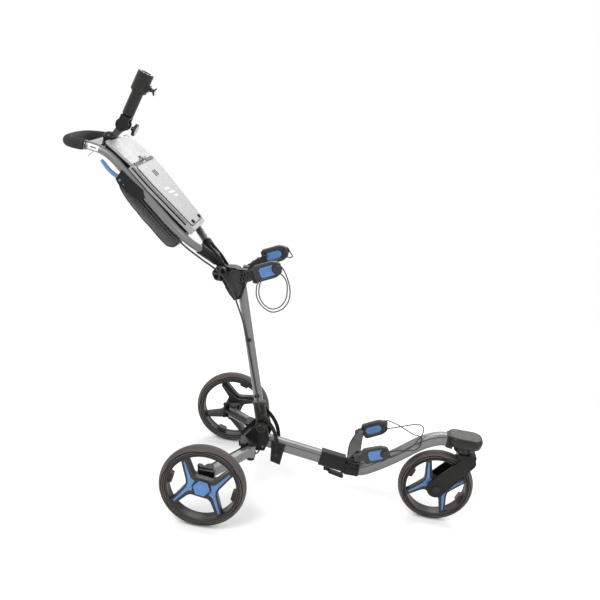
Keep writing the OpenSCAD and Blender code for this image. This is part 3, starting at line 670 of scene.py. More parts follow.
def tyre_piece(name, r, place):
    inner, half = r * RIM_SHARE, TYRE_HALF
    low = r - 0.0162
    side = [(inner, half - 0.006), (inner + 0.0012, half - 0.0022), (inner + 0.0022, half - 0.0001),
            (low - 0.0022, half), (low - 0.0015, half - 0.0022), (low - 0.0004, half - 0.0022),
            (low + 0.0003, half - 0.0001), (low + 0.0011, half), (low + 0.0018, half - 0.0024),
            (low + 0.0031, half - 0.0024), (low + 0.0038, half - 0.0002), (r - 0.0085, half - 0.0025),
            (r - 0.0055, half - 0.0055), (r - 0.0028, half - 0.0095), (r - 0.001, half - 0.014),
            (r - 0.0002, half - 0.0185)]
    crown = [(r, 0.0008), (r, -0.0008)]
    profile = side + crown + [(x, -z) for x, z in reversed(side)]

    def shape(i, angle, x, z):
        k = i if i < len(side) else len(profile) - 1 - i
        if k in LEAF_ROWS and z:
            x += 0.0034 * leaf(angle if z > 0 else angle + math.pi / LEAF_COUNT)
            z -= math.copysign(max(0.0, x - (r - 0.0125)) * 0.55, z)
        return x, z

    tyre = lathe(name, profile, TYRE, place, 192, 40, shape)
    # Faces in the grooves and at the rim seat take the near-black material: painted shade in the grooves.
    tyre.data.materials.append(GROOVE_SHADE)
    for face in tyre.data.polygons:
        i = face.index % len(profile)
        if min(i, len(profile) - 2 - i) in GROOVE_SHADE_ROWS:
            face.material_index = 1
    return tyre


K_PLATE = [(0, 31), (27, 31), (37, 38), (69.5, 84), (82.7, 71.1), (54, 14), (49.5, 0)]
K_CORE = [(24, 28), (36, 33), (63, 74), (70, 68), (46, 12), (42, 0)]
K_BLUE = [(30.6, 0), (25.5, 17), (34.5, 20.5), (40, 24.5), (70.5, 72), (74.5, 68.5), (48.5, 16.5), (44.5, 0)]


def spread_outline(half_outline, k):
    """Both halves of an outline that is the same above and below its middle."""
    upper = [(x * k, y * k) for x, y in half_outline]
    lower = [(x, -y) for x, y in reversed(upper) if abs(y) > 1e-9]
    return [(x / 1000, y / 1000) for x, y in upper + lower]


def rim_piece(name, r, place):
    k = r / REAR_R
    inner, half = r * RIM_SHARE, TYRE_HALF
    parts = [lathe(name + "_ring", [
        (inner - 0.0062, 0.002 - half), (inner - 0.0002, 0.002 - half), (inner - 0.0002, half - 0.001),
        (inner - 0.003, half + 0.0004), (inner - 0.0055, half - 0.0014), (inner - 0.0062, half - 0.006),
        (inner - 0.0062, half - 0.009), (inner - 0.0048, half - 0.0105), (inner - 0.0048, 0.006 - half)],
        RIM, None, 128, 30)]
    for turn in (-45, 135):
        plate_outline = turned(spread_outline(K_PLATE, k), turn)
        body = slab(name + "_plate", plate_outline, -0.004, 0.0172, RIM, 0)
        cut_by(body, slab("well", turned(spread_outline(K_BLUE, k), turn), 0.0145, 0.03, RIM, 0))
        bevelled(body, 0.0007, 2)
        core = turned(spread_outline(K_CORE, k), turn)
        parts += [body, slab(name + "_wall", core, -0.018, -0.004, RIM, 0.0008)]
        pad = [(-0.0185, 0), (-0.013, 0.0135), (0.013, 0.0135), (0.0185, 0)]
        pad = turned([(inner - 0.0055 - y, x) for x, y in pad], turn)
        parts.append(slab(name + "_pad", pad, -0.012, 0.013, RIM, 0.001))
        pocket = turned([(inner - 0.0055 - y, x * 0.62) for x, y in
                         ((-0.0185, 0.002), (-0.013, 0.0115), (0.013, 0.0115), (0.0185, 0.002))], turn)
        cut_by(parts[-1], slab("pocket", pocket, 0.0115, 0.03, RIM, 0))
    collar = [polar(0.031, 15 + 60 * n) for n in range(6)]
    parts.append(slab(name + "_collar", [(x * k, y * k) for x, y in collar], 0.013, 0.0196, RIM, 0.0006))
    cut_by(parts[-1], slab("seat", [(x * k * 0.92, y * k * 0.92) for x, y in collar], 0.0182, 0.03, RIM, 0))
    parts.append(lathe(name + "_hub", [
        (0.0132, -0.024), (0.0185, -0.024), (0.02, -0.0225), (0.022, -0.006), (0.029, 0.013), (0.0132, 0.013)],
        RIM, None, 48, 30))
    for n in range(8):
        rib = turned([(0.0185, -0.0012), (0.0185, 0.0012), (0.027, 0.0012), (0.027, -0.0012)], 45 * n + 22.5)
        parts.append(slab(name + "_rib", rib, -0.016, 0.0, RIM, 0.0003))
    piece = join(name, parts)
    piece.data.transform(place)
    return piece


def trim_piece(name, r, place, bored):
    k = r / REAR_R
    parts = []
    for turn in (-45, 135):
        blue = turned(about_middle(spread_outline(K_BLUE, k), 0.0405 * k, 0.985, 0.985), turn)
        parts.append(slab(name + "_k", blue, 0.0146, 0.0168, BLUE, 0.0005))
    hexagon = [polar(0.0272 * k, 15 + 60 * n) for n in range(6)]
    cap = slab(name + "_cap", hexagon, 0.0183, 0.0218, BLUE, 0.0012, 3)
    dish = [(x * 0.72, y * 0.72) for x, y in hexagon]
    cut_by(cap, slab("dish", dish, 0.0214, 0.03, BLUE, 0))
    if bored:
        cut_by(cap, slab("hole", circle_section(0.0068), 0.01, 0.03, BLUE, 0))
    piece = join(name, parts + [cap])
    piece.data.transform(place)
    return piece


def make_wheel(side, x, y, r, facing_side, turn, bored=False):
    place = Matrix.Translation((x, y, r)) @ spin(90 * facing_side, "X") @ spin(turn, "Z")
    body = "wheel_" + side
    settle(tyre_piece("tyre_skin_" + side, r, place), body, "tyre_rubber", "tyre_" + side)
    settle(rim_piece("rim_cast_" + side, r, place), body, "rim_plastic", "rim_" + side)
    settle(trim_piece("trim_inlay_" + side, r, place, bored), body, "blue_plastic", "trim_" + side)


make_wheel("right", REAR_X, -WHEEL_Y, REAR_R, 1, 38)
make_wheel("left", REAR_X, WHEEL_Y, REAR_R, -1, -28)
make_wheel("front", FRONT_X, 0, FRONT_R, 1, 24, True)


# ---------------------------------------------------------------- frame tubes

FRONT_PATH = [
    (257, 141.5), (292, 134), (325, 129.5), (352, 133.5), (378, 148), (415, 173), (462, 210),
    (500, 243), (526, 264), (552, 280), (577, 291), (596, 295.2), (606.5, 295.6)]
TUBE_START, TUBE_END = Vector((0.022, 0, 0.1745)), Vector((0.250, 0, 0.1457))


GROOVE_STEPS = ((0.02, 0), (0.035, 1), (0.085, 1), (0.1, 0), (0.9, 0), (0.915, 1), (0.965, 1), (0.98, 0))


def grooved_section(width, height, radius, groove):
    """Rounded section with two fine grooves along each side."""
    outline = rounded_section(width, height, radius, 4)
    dented = []
    for i, (x, y) in enumerate(outline):
        dented.append((x, y))
        following = outline[(i + 1) % len(outline)]
        if abs(x - following[0]) < 1e-6 and abs(y - following[1]) > radius:
            inward = -groove if x > 0 else groove
            for k, dips in GROOVE_STEPS:
                dented.append((x + inward * dips, y + (following[1] - y) * k))
    return dented


def darken_upper_grooves(tube, section, depth):
    """The grooves along the tube's upper edges lie in their own shade."""
    tube.data.materials.append(GROOVE_SHADE)
    half = max(y for x, y in section)
    around = len(section)
    deep = [x > 0 and abs(half - depth - abs(y)) < 1e-6 for x, y in section]
    for face in tube.data.polygons:
        k = face.index % around
        if face.index < around * (len(tube.data.vertices) // around - 1) and (deep[k] or deep[(k + 1) % around]):
            face.material_index = 1


def make_tubes():
    straight = [TUBE_START.lerp(TUBE_END, k / 12) for k in range(13)]
    for node, line, height, radius, groove in (("front_tube", smooth(flat_path(FRONT_PATH), 6), 0.040, 0.007, 0.0007),
                                               ("main_tube", straight, 0.042, 0.009, 0.0006)):
        section = [(y, x) for x, y in grooved_section(0.034, height, radius, groove)]
        fine = sweep(node + "_fine", line, section, GREY_METAL)
        darken_upper_grooves(fine, section, groove)
        settle(fine, "chassis", "grey_metal", node)


make_tubes()


# ---------------------------------------------------------------- caster

CAP_SIZE = (0.114, 0.086)


def cap_ring(inset, z, lean=0.0):
    section = rounded_section(CAP_SIZE[0] - 2 * inset, CAP_SIZE[1] - 2 * inset, 0.030 - inset * 0.7, 8)
    return [(SWIVEL_X + x + lean, y, z) for x, y in section]


def make_caster():
    shell = loft("caster_cap_shell", [cap_ring(i, z, n) for i, z, n in (
        (0.010, 0.285, 0.001), (0.0065, 0.2862, 0.001), (0.0035, 0.291, 0.0005), (0.0012, 0.300, 0),
        (0.0, 0.309, 0), (0.0004, 0.314, 0), (0.002, 0.3175, 0), (0.0045, 0.3196, 0), (0.0062, 0.3198, 0),
        (0.0066, 0.3188, 0))], SATIN_BLACK, 50)
    neck = lathe("caster_neck", [(0.0102, 0.263), (0.0265, 0.263), (0.029, 0.2655), (0.029, 0.270), (0.0275, 0.272),
                                 (0.0275, 0.276), (0.030, 0.287), (0.0102, 0.287)],
                 SATIN_BLACK, Matrix.Translation((SWIVEL_X, 0, 0)), 64)
    saddle = slab("caster_saddle", rounded_outline([(603, -18), (626, -26), (626, 26), (603, 18)], 5), 0.2735, 0.317,
                  SATIN_BLACK, 0.002)
    settle(join("caster_cap", [shell, neck, saddle]), "chassis", "cap_plastic", "caster_head")
    grain = loft("cap_grained_top", [cap_ring(i, z) for i, z in (
        (0.0075, 0.3185), (0.0075, 0.3202), (0.0086, 0.3211), (0.0105, 0.3215))], CAP, 50)
    settle(grain, "chassis", "cap_plastic")
    polish("caster_fork", "caster", "black_plastic", 0.0022, 3)
    for s, side in SIDES:
        place = Matrix.Translation((FRONT_X, s * 0.034, FRONT_R)) @ spin(-90 * s, "X")
        cover = lathe("fork_cover_" + side, [
            (0, 0.0045), (0.0085, 0.0045), (0.0085, 0.0055), (0.0102, 0.0055), (0.0125, 0.0045), (0.0135, 0.0),
            (0.0145, -0.0002), (0.0145, 0.0006), (0.0102, 0.0006), (0.0102, 0.0052), (0, 0.0052)],
            SATIN_BLACK, place, 48)
        settle(cover, "caster", "black_plastic")


make_caster()


# ---------------------------------------------------------------- hub and fold linkage

def make_hub():
    for node, body, width, segments in (
            ("hub_casting", "chassis", 0.002, 2), ("hub_plates", "chassis", 0.0016, 2),
            ("slider_bracket", "slider", 0.0022, 2), ("fold_links", "links", 0.0014, 2),
            ("shaft_clamp", "shaft", 0.0014, 2), ("tube_collar", "chassis", 0.002, 3),
            ("collar_lever", "collar_lever", 0.0016, 2)):
        polish(node, body, "black_plastic", width, segments)
    for s, side in SIDES:
        turn = spin(-90 * s, "X")
        boss = lathe("hub_boss_" + side, [
            (0, 0.0072), (0.006, 0.0072), (0.0072, 0.0058), (0.0088, 0.0058), (0.010, 0.0068), (0.0125, 0.0068),
            (0.0148, 0.005), (0.0165, 0.0016), (0.019, 0.0012), (0.0195, 0.0001), (0.0112, 0.0001),
            (0.0112, 0.0053), (0, 0.0053)],
            SATIN_BLACK, Matrix.Translation((FOLD.x, s * 0.044, FOLD.z)) @ turn, 64)
        settle(boss, "chassis", "black_plastic")
        for n, (x, z, r) in enumerate(((-40, 176, 3.6), (12, 170, 3.6), (-12, 162, 3))):
            rivet = lathe("hub_rivet_%s_%d" % (side, n), [
                (0, 0.0016), (r * 0.0005, 0.0016), (r * 0.001, 0.0006), (r * 0.001, -0.0004), (0, -0.0004)],
                GREY_METAL, shift(x, s * 44.1, z) @ turn, 24)
            settle(rivet, "chassis", "steel")
        rib = sweep("hub_rib_" + side, smooth(flat_path([
            (-21, 232), (-44, 203), (-62, 176), (-60, 164), (-40, 158), (-18, 155), (6, 158), (16, 164), (25, 190),
            (20, 214), (14, 236)], s * 0.0442), 6), circle_section(0.0016, 10), BLACK)
        settle(rib, "chassis", "black_plastic")
        bail = tube("hub_bail_" + side, millimetres([
            (-46, s * 30, 158), (-45, s * 31, 150), (-40, s * 34, 142), (-30, s * 39, 138), (-14, s * 42, 137.5),
            (-4, s * 41, 140), (2, s * 38, 147), (4, s * 34, 156)]), 0.0044, SATIN_BLACK)
        settle(bail, "chassis", "black_plastic")
        for pin, (x, y, z) in {"top": (-3, 33.5, 273), "low": (61, 33.5, 142)}.items():
            washer = lathe("link_pin_%s_%s" % (pin, side), [
                (0, 0.0024), (0.0034, 0.0024), (0.0044, 0.0014), (0.0044, 0.0006), (0.0068, 0.0006), (0.0068, 0.0001),
                (0, 0.0001)], SATIN_BLACK, shift(x, s * y, z) @ turn, 32)
            settle(washer, "links", "steel")
        polish("arm_" + side, "arm_" + side, "grey_metal", 0.0026, 3)
        polish("rod_" + side, "rod_" + side, "black_plastic", 0.0012)
        polish("knuckle_" + side, "knuckle_" + side, "black_plastic", 0.0016, 2, BLACK)


make_hub()


def shaft_place(height):
    """Local Z up the shaft from the fold pivot, and local X across it."""
    return Matrix.Translation(FOLD) @ spin(-LEAN, "Y") @ Matrix.Translation((0, 0, height))


def make_shaft():
    outer = [(0.0131, 0.048), (0.0144, 0.048), (0.015, 0.0486)] + [(0.015, 0.06 + 0.03 * n) for n in range(14)] \
        + [(0.015, 0.4774), (0.0144, 0.478), (0.0131, 0.478)]
    settle(lathe("shaft_fine", outer, GREY_METAL, shaft_place(0), 64), "shaft", "grey_metal", "shaft_tube")
    ring = lathe("shaft_ring", [(0.0151, 0.070), (0.0203, 0.070), (0.0213, 0.0712), (0.0213, 0.0765), (0.0203, 0.078),
                                (0.0172, 0.0792), (0.0151, 0.0792)], SATIN_BLACK, shaft_place(0), 64)
    settle(ring, "shaft", "black_plastic")
    for n, height in enumerate((0.104, 0.30)):
        clip = slab("cable_clip_%d" % n, rounded_outline([(-7, -2.5), (9, -2.5), (11, 0), (9, 3.5), (-7, 3.5)], 2),
                    -0.0045, 0.0045, BLACK, 0.0008)
        settle(placed(clip, shaft_place(height) @ shift(-2, -18.5, 0)), "shaft", "black_plastic")
        screw = lathe("clip_screw_%d" % n, [(0, 0.0018), (0.0018, 0.0018), (0.003, 0.0008), (0.003, -0.003),
                                            (0, -0.003)], SATIN_BLACK,
                      shaft_place(height) @ shift(5.8, -21, 0) @ spin(90, "X"), 24)
        settle(screw, "shaft", "steel")


make_shaft()


# ---------------------------------------------------------------- bag cradles

CRADLE_PATH = [(-71, 232), (-67, 212), (-56, 190), (-36, 171), (-13, 161), (13, 161), (36, 171), (56, 190),
               (67, 214), (71, 242)]


def cradle_strip(name, points, inner, outer, x_from, x_to, material, bevel):
    """A strip along the cradle's arc, between two heights off its middle surface."""
    rings = []
    for i, p in enumerate(points):
        ahead = (points[min(i + 1, len(points) - 1)] - points[max(i - 1, 0)]).normalized()
        normal = Vector((-ahead.y, ahead.x))
        start, end = x_from(p.y), x_to(p.y)
        near, far = inner(i), outer(i)
        rings.append([(start, *(p + normal * near)), (end, *(p + normal * near)),
                      (end, *(p + normal * far)), (start, *(p + normal * far))])
    obj = loft(name, rings, material, 30)
    return bevelled(obj, bevel, 2, 40) if bevel else obj


def cradle_start(z):
    k = max(0.0, min(1.0, (z - 0.176) / 0.072))
    return 0.2965 + 0.0235 * k * k * (3 - 2 * k)


def make_lower_cradle():
    fine = smooth([(y / 1000, z / 1000) for y, z in CRADLE_PATH], 8)
    parts = [cradle_strip("cradle_band", fine, lambda i: -0.0042, lambda i: 0.004, cradle_start,
                          lambda z: 0.340, BLACK, 0.001)]
    for n in range(2, 68, 5):
        if 30 < n < 40:
            continue
        piece = fine[n:n + 4]
        parts.append(cradle_strip("cradle_link", piece, lambda i: -0.0078, lambda i: -0.004,
                                  lambda z: cradle_start(z) + 0.003, lambda z: 0.337, BLACK, 0.001))
        parts.append(cradle_strip("cradle_lug", piece[:3], lambda i: -0.0108, lambda i: -0.0074,
                                  lambda z: cradle_start(z) + 0.010, lambda z: 0.329, BLACK, 0.0008))
    for x0, x1, y, z0, z1 in ((294, 342, 24, 112, 152), (298, 338, 27, 124, 140)):
        block = slab("cradle_saddle", rounded_outline(rectangle(x0, x1, -y, y), 4), z0 / 1000, z1 / 1000, BLACK,
                     0.002)
        room = smooth(flat_path(FRONT_PATH), 4)
        cut_by(block, sweep("room", room, [(z, w) for w, z in rounded_section(0.0344, 0.0406, 0.006, 3)], None))
        parts.append(block)
    boot = [p for p in smooth(flat_path(FRONT_PATH), 16) if 0.2855 < p.x < 0.2985]
    parts.append(sweep("cradle_boot", boot, [(z, w) for w, z in rounded_section(0.0385, 0.0465, 0.007, 4)], BLACK))
    settle(join("cradle_body", parts), "chassis", "black_plastic", "lower_cradle")
    lining = cradle_strip("cradle_lining", fine[1:-1], lambda i: 0.0041, lambda i: 0.0062 if i % 2 else 0.0074,
                          lambda z: cradle_start(z) + 0.003, lambda z: 0.3375, LINING, 0)
    settle(lining, "chassis", "black_plastic")


def paddle_place(at, tilt, s):
    c, n = math.cos(math.radians(tilt)), math.sin(math.radians(tilt))
    place = Matrix(((c, -n, 0, 0), (0, 0, s, 0), (n, c, 0, 0), (0, 0, 0, 1)))
    return shift(at[0], s * at[1], at[2]) @ place


PADDLE_BODY = [(-43, -21), (-34, -26), (22, -26), (43, -15), (43, 15), (22, 26), (-34, 26), (-43, 21)]
PADDLE_BLUE = [(-25, -11), (-20, -17), (23, -17), (17.5, -11), (14.8, -5.5), (14, 0), (14.8, 5.5), (17.5, 11),
               (23, 17), (-20, 17), (-25, 11)]
PADDLE_PILL = [(-34, -4), (-26, -13), (16, -13), (24, -4), (24, 4), (16, 13), (-26, 13), (-34, 4)]


ARM_ELBOW = (-88, 83, 759)


def paddle_pieces(name, node, body, at, tilt, s, neck, lugs=None):
    place = paddle_place(at, tilt, s)
    parts = [slab(name + "_shell", rounded_outline(PADDLE_BODY, 9), -0.009, 0.009, PADDLE, 0.003, 3)]
    outer, inner = rounded_outline(PADDLE_BLUE, 3), rounded_outline(PADDLE_PILL, 5)
    cut_by(parts[0], slab("pocket", outer, 0.0062, 0.02, PADDLE, 0))
    cut_by(parts[0], slab("pocket", inner, -0.02, -0.0062, PADDLE, 0))
    post = Matrix.Translation((0.034, 0, 0))
    parts.append(lathe(name + "_post", [
        (0, 0.008), (0.0115, 0.008), (0.0115, 0.0095), (0.0095, 0.0105), (0.0088, 0.0125), (0.0088, 0.0155),
        (0.0098, 0.0175), (0.0118, 0.0185), (0.012, 0.0195), (0.012, 0.0208), (0.0108, 0.022), (0.006, 0.022),
        (0.005, 0.021), (0, 0.021)], PADDLE, post, 48, 40))
    parts.append(lathe(name + "_stud", [(0, -0.0125), (0.005, -0.0125), (0.0062, -0.0112), (0.0062, -0.008),
                                        (0, -0.008)], PADDLE, post, 32, 40))
    if neck:
        parts.append(slab(name + "_neck", rounded_outline(
            [(-56 - neck, -9), (-50, -12), (-40, -12), (-40, 12), (-50, 12), (-56 - neck, 9)], 3), -0.009, 0.009,
            PADDLE, 0.002))
        for x in (-47, -54, -61):
            parts.append(slab(name + "_rib", rounded_outline(rectangle(x - 1.4, x + 1.4, -13, 13), 1), -0.0098,
                              0.0098, PADDLE, 0.0006))
    for part in parts:
        placed(part, place)
    if lugs:
        elbow = shift(lugs[0], s * lugs[1], lugs[2])
        for low in (-0.0246, 0.0186):
            lug = slab(name + "_lug", rounded_outline(rectangle(-8, 12, -5, 6), 3), low, low + 0.006, PADDLE, 0.0012)
            parts.append(placed(lug, elbow @ Matrix.Diagonal((1, s, 1, 1))))
        parts.append(placed(lathe(name + "_pin", [
            (0, -0.0262), (0.0045, -0.0262), (0.0055, -0.0246), (0.0035, -0.0244), (0.0035, 0.0244),
            (0.0055, 0.0246), (0.0045, 0.0262), (0, 0.0262)], PADDLE, None, 32), elbow))
    settle(join(name, parts), body, "paddle_plastic", node)
    for label, outline, near, far in (("outer", outer, 0.0063, 0.0084), ("inner", inner, -0.0084, -0.0063)):
        panel = about_middle(outline, -0.006, 0.965, 0.955)
        pad = slab("%s_blue_%s" % (name, label), panel, near, far, BLUE, 0.0007)
        strips = [pad]
        for x in (-16, -8, 0, 8):
            low, high = (far - 0.0004, far + 0.0007) if far > 0 else (near - 0.0007, near + 0.0004)
            strips.append(slab("strip", rounded_outline(rectangle(x - 1, x + 1, -11, 11), 0.8), low, high, BLUE,
                               0.0003))
        pad = join(pad.name, strips)
        settle(placed(pad, place), body, "paddle_plastic")


def make_paddles():
    paddle_pieces("paddle_lower_right", "lower_paddle_right", "chassis", (380, 86, 238), 22, -1, 16)
    paddle_pieces("paddle_lower_left", "lower_paddle_left", "chassis", (376, 86, 246), 28, 1, 14)
    for (s, side), height in zip(SIDES, (782, 788)):
        node = "upper_paddle_" + side
        paddle_pieces("paddle_upper_" + side, node, node, (-54, 95, height), 26, s, 0, ARM_ELBOW)


ARM_STEPS = [(-131, 33, 730, 40), (-121, 46, 738, 44), (-109, 60, 748, 46), (-97, 73, 757, 48)]
ARM_ROOT = (-133, 26, 730)


def make_upper_arm(s, side):
    """One upper arm: a curved bar from the hinge to the paddle's elbow, with open links on its outside."""
    route = [step[:3] for step in ARM_STEPS] + [(-91.6, 79, 758.2)]
    line = smooth(mirrored_path(route, s), 6)
    parts = [sweep("arm_bar", line, rounded_section(0.0162, 0.0355, 0.0045, 4), BLACK, (0, 0, 1))]
    for (x, y, z), radius, bore, half in ((ARM_ROOT, 0.0104, 0.00505, 0.0193), (ARM_ELBOW, 0.0089, 0.00355, 0.0179)):
        parts.append(lathe("arm_boss", [
            (bore, -half), (radius - 0.0015, -half), (radius, 0.0015 - half), (radius, half - 0.0015),
            (radius - 0.0015, half), (bore, half)], BLACK, shift(x, s * y, z), 48, 30))
    bar = join("upper_arm_fine_" + side, parts)
    settle(bar, "upper_arm_" + side, "black_plastic", "upper_arm_" + side)
    links = []
    for x, y, z, turn in ARM_STEPS:
        place = shift(x, s * y, z) @ spin(s * turn, "Z")
        low, high = sorted((s * 0.0070, s * 0.0096))
        link = plate("arm_link", rounded_outline(rectangle(-8, 8, -16, 16), 3), low, high, PADDLE, 0.0007)
        window = rounded_outline(rectangle(-4.6, 4.6, -12, 12), 2.5)
        cut_by(link, plate("window", window, low - 0.004, high + 0.004, None, 0))
        bar = plate("arm_link_bar", rounded_outline(rectangle(-5.5, 5.5, -1.6, 1.6), 1), low, high, PADDLE, 0.0005)
        links += [placed(link, place), placed(bar, place)]
    settle(join("arm_links_" + side, links), "upper_arm_" + side, "black_plastic")


make_lower_cradle()
make_paddles()
for arm_side in SIDES:
    make_upper_arm(*arm_side)


# ---------------------------------------------------------------- upper hinge

def make_hinge():
    polish("hinge_body", "shaft", "black_plastic", 0.002, 3)
    leaf_outline = [(-176, 746), (-146, 746), (-134, 728), (-131, 700), (-138, 664), (-151, 652), (-166, 668),
                    (-181, 696), (-190, 716)]
    for s, side in SIDES:
        cover = plate("leaf_cover_" + side, rounded_outline(leaf_outline, 12), s * 0.0205, s * 0.0238, PADDLE,
                      0.0012, 3)
        hollow = [(-160.5 + (x + 160.5) * 0.74, 702 + (z - 702) * 0.80) for x, z in leaf_outline]
        cut_by(cover, plate("hollow", rounded_outline(hollow, 9), s * 0.0226, s * 0.030, None, 0))
        settle(cover, "shaft", "black_plastic")

    def lobes(i, angle, r, z):
        return (r - (0.0016 * (1 - math.cos(6 * angle)) / 2 if r > 0.019 else 0), z)

    knob = lathe("hinge_knob_cap", [
        (0.0, 0.0492), (0.021, 0.0492), (0.0236, 0.0468), (0.0242, 0.0435), (0.024, 0.031), (0.0225, 0.0275),
        (0.014, 0.0262), (0.014, 0.0228), (0.0, 0.0228)], PADDLE, None, 96, 40, lobes)
    shade_floors = []
    for n in range(4):
        wedge = turned([(0.0052, -0.0018), (0.0185, -0.0105), (0.0202, 0), (0.0185, 0.0105), (0.0052, 0.0018)],
                       90 * n + 45)
        cut_by(knob, slab("recess", wedge, 0.0405, 0.06, None, 0))
        # Each recess gets a near-black floor: painted shade in the recess.
        shade_floors.append(slab("recess_shade_floor", [(x * 0.985, y * 0.985) for x, y in wedge], 0.0400, 0.0412, GROOVE_SHADE, 0))
    bolt = lathe("hinge_bolt", [(0, -0.0308), (0.0042, -0.0308), (0.005, -0.0298), (0.005, 0.0228), (0, 0.0228)],
                 SATIN_BLACK, None, 32)
    nut = lathe("hinge_nut", [(0.0049, -0.029), (0.0092, -0.029), (0.0103, -0.0278), (0.0103, -0.024),
                              (0.0125, -0.0236), (0.0125, -0.0227), (0.0049, -0.0227)], SATIN_BLACK, None, 6, 20)
    piece = join("hinge_knob_fine", [knob, bolt, nut] + shade_floors)
    piece.data.transform(Matrix.Translation(HINGE) @ spin(90, "X"))
    settle(piece, "hinge_knob", "black_plastic", "hinge_knob")
    polish("yoke", "handle", "black_plastic", 0.0014)


make_hinge()


# ---------------------------------------------------------------- handle

RAIL = [(-254, 34, 786), (-268, 47, 797), (-284, 63, 809.5), (-304, 80, 825), (-330, 97, 848), (-360, 107, 874.4),
        (-392, 110, 902.7), (-448, 110, 952), (-500, 110, 997.8), (-536, 110, 1029.5), (-552, 110, 1042),
        (-570, 110, 1053), (-592, 110, 1061.5), (-616, 110, 1066), (-640, 110, 1067.5)]
GRIP = [(-641.5, 110, 1067.5), (-660, 109, 1067.5), (-678, 101, 1067.2), (-694, 87, 1066.8), (-703.5, 68, 1066.4),
        (-708.5, 44, 1066), (-709.5, 22, 1066)]


def arc_section(radius, thick, middle, half, steps=8):
    angles = [math.radians(middle - half + 2 * half * k / steps) for k in range(steps + 1)]
    outer = [((radius + thick) * math.cos(a), (radius + thick) * math.sin(a)) for a in angles]
    return outer + [(radius * math.cos(a), radius * math.sin(a)) for a in reversed(angles)]


def make_handle():
    rails = [sweep("rail", smooth(mirrored_path(RAIL, s), 5), circle_section(0.0125, 32), GREY_METAL, (0, 0, 1))
             for s in (-1, 1)]
    settle(join("handle_rails", rails), "handle", "grey_metal", "handle_tube")
    line = smooth(mirrored_path(GRIP, 1) + mirrored_path(reversed(GRIP), -1), 6)
    sizes = [0.86 if i == 0 else 0.95 if i == 1 else 1.0 for i in range(len(line))]
    sizes = [min(a, b) for a, b in zip(sizes, reversed(sizes))]
    grip = sweep("foam_grip", line, circle_section(0.0165, 32), FOAM, (0, 0, 1), sizes=sizes)
    settle(grip, "handle", "foam", "grip")
    for s, side in SIDES:
        start = Vector((-0.6345, s * 0.110, 1.0672))
        ring = sweep("grip_ring_" + side, [start + Vector((0.0018 * k, 0, -0.0001 * k)) for k in range(-3, 2)],
                     circle_section(0.0142, 32), GLOSS, (0, 0, 1), sizes=[0.97, 1.0, 1.0, 1.0, 0.93])
        settle(ring, "handle", "foam")
    label_line = smooth([(-0.626, -0.110, 1.0669), (-0.616, -0.110, 1.066), (-0.604, -0.110, 1.0641),
                         (-0.595, -0.110, 1.0622)], 4)
    label = sweep("maker_plate", label_line, arc_section(0.0125, 0.0005, -86, 36), LABEL)
    settle(label, "handle", "grey_metal")
    band = sweep("maker_plate_band", label_line[3:-3], arc_section(0.013, 0.0003, -86, 9), LINING)
    settle(band, "handle", "grey_metal")
    hook = tube("glove_hook", millimetres([(-611, -110, 1056), (-613, -110.5, 1051), (-618, -111, 1045),
                                           (-624, -111.5, 1039), (-627, -112, 1035)]), 0.0022, STEEL)
    settle(hook, "handle", "steel")
    polish("brake_bracket", "handle", "black_plastic", 0.0035, 3)
    for n, (x, z, r) in enumerate(((-521, 985, 3.4), (-509, 974, 1.9))):
        dot = lathe("bracket_dot_%d" % n, [(0, 0.0014), (r * 0.0007, 0.0014), (r * 0.001, 0.0006),
                                           (r * 0.001, -0.001), (0, -0.001)], BLUE,
                    shift(x, -130.1, z) @ spin(90, "X"), 32)
        settle(dot, "handle", "black_plastic")
    centre = [(-586.5, 1031.5), (-577, 1022.5), (-566, 1011), (-553, 1001), (-540, 993.5), (-529, 987.5),
              (-521.5, 984.5)]
    wide = [4.2, 5.6, 6.2, 6.2, 6.6, 7.8, 6.5]
    steps = 5
    line = smooth(flat_path(centre, -0.110), steps)
    sizes = []
    for i in range(len(line)):
        a = int(min(i / steps, len(wide) - 2))
        sizes.append((wide[a] + (wide[a + 1] - wide[a]) * (i / steps - a)) / 7.4)
    lever = sweep("lever_blade", line, rounded_section(0.0135, 0.0148, 0.0055, 5), BLUE, (0, 1, 0), sizes=sizes)
    pin = lathe("lever_pin", [(0, -0.0114), (0.003, -0.0114), (0.003, 0.0114), (0, 0.0114)], BLUE,
                shift(-522, -110, 985) @ spin(90, "X"), 24)
    settle(join("brake_lever_fine", [lever, pin]), "brake_lever", "blue_plastic", "brake_lever")
    polish("accessory_plate", "handle", "gloss_black", 0.0016, 2)


make_handle()


# ---------------------------------------------------------------- console

SLOPE = Vector((0.191, 0, -0.164)).normalized()
ALONG_X, OFF_X = 0.7587, 0.6514
OFF_SLOPE = Vector((OFF_X, 0, ALONG_X))
PANEL_X = -492
PANEL_TOP = Vector((PANEL_X / 1000, 0, 1.034))
PANEL = Matrix.Translation(PANEL_TOP) @ Matrix((
    (SLOPE.x, 0, -SLOPE.z, 0), (0, 1, 0, 0), (SLOPE.z, 0, SLOPE.x, 0), (0, 0, 0, 1)))


BASE_PLAN = [(-520, 111), (-440, 111), (-306, 80), (-296, 75), (-288, 65), (-280, 55)]


def base_half(u, n=0.0):
    """Half the width of the console's base, from the place along its slope and the height off it."""
    x = PANEL_X + ALONG_X * u + OFF_X * n
    for (x0, w0), (x1, w1) in zip(BASE_PLAN, BASE_PLAN[1:]):
        if x <= x1:
            return w0 + (w1 - w0) * (x - x0) / (x1 - x0)
    return BASE_PLAN[-1][1]


def panel_outline(inset, start, end):
    """Outline of the console's sloping top: along the slope, and across it."""
    places = [start, 68.5, end - 12, end - 5, end]
    side = [(u, base_half(u) - inset - (4 if u == end else 0)) for u in places]
    return [(u, -w) for u, w in side] + [(u, w) for u, w in reversed(side)]


def two_tone(obj, lower_material, is_lower):
    obj.data.materials.append(lower_material)
    for face in obj.data.polygons:
        if is_lower(face.center):
            face.material_index = 1


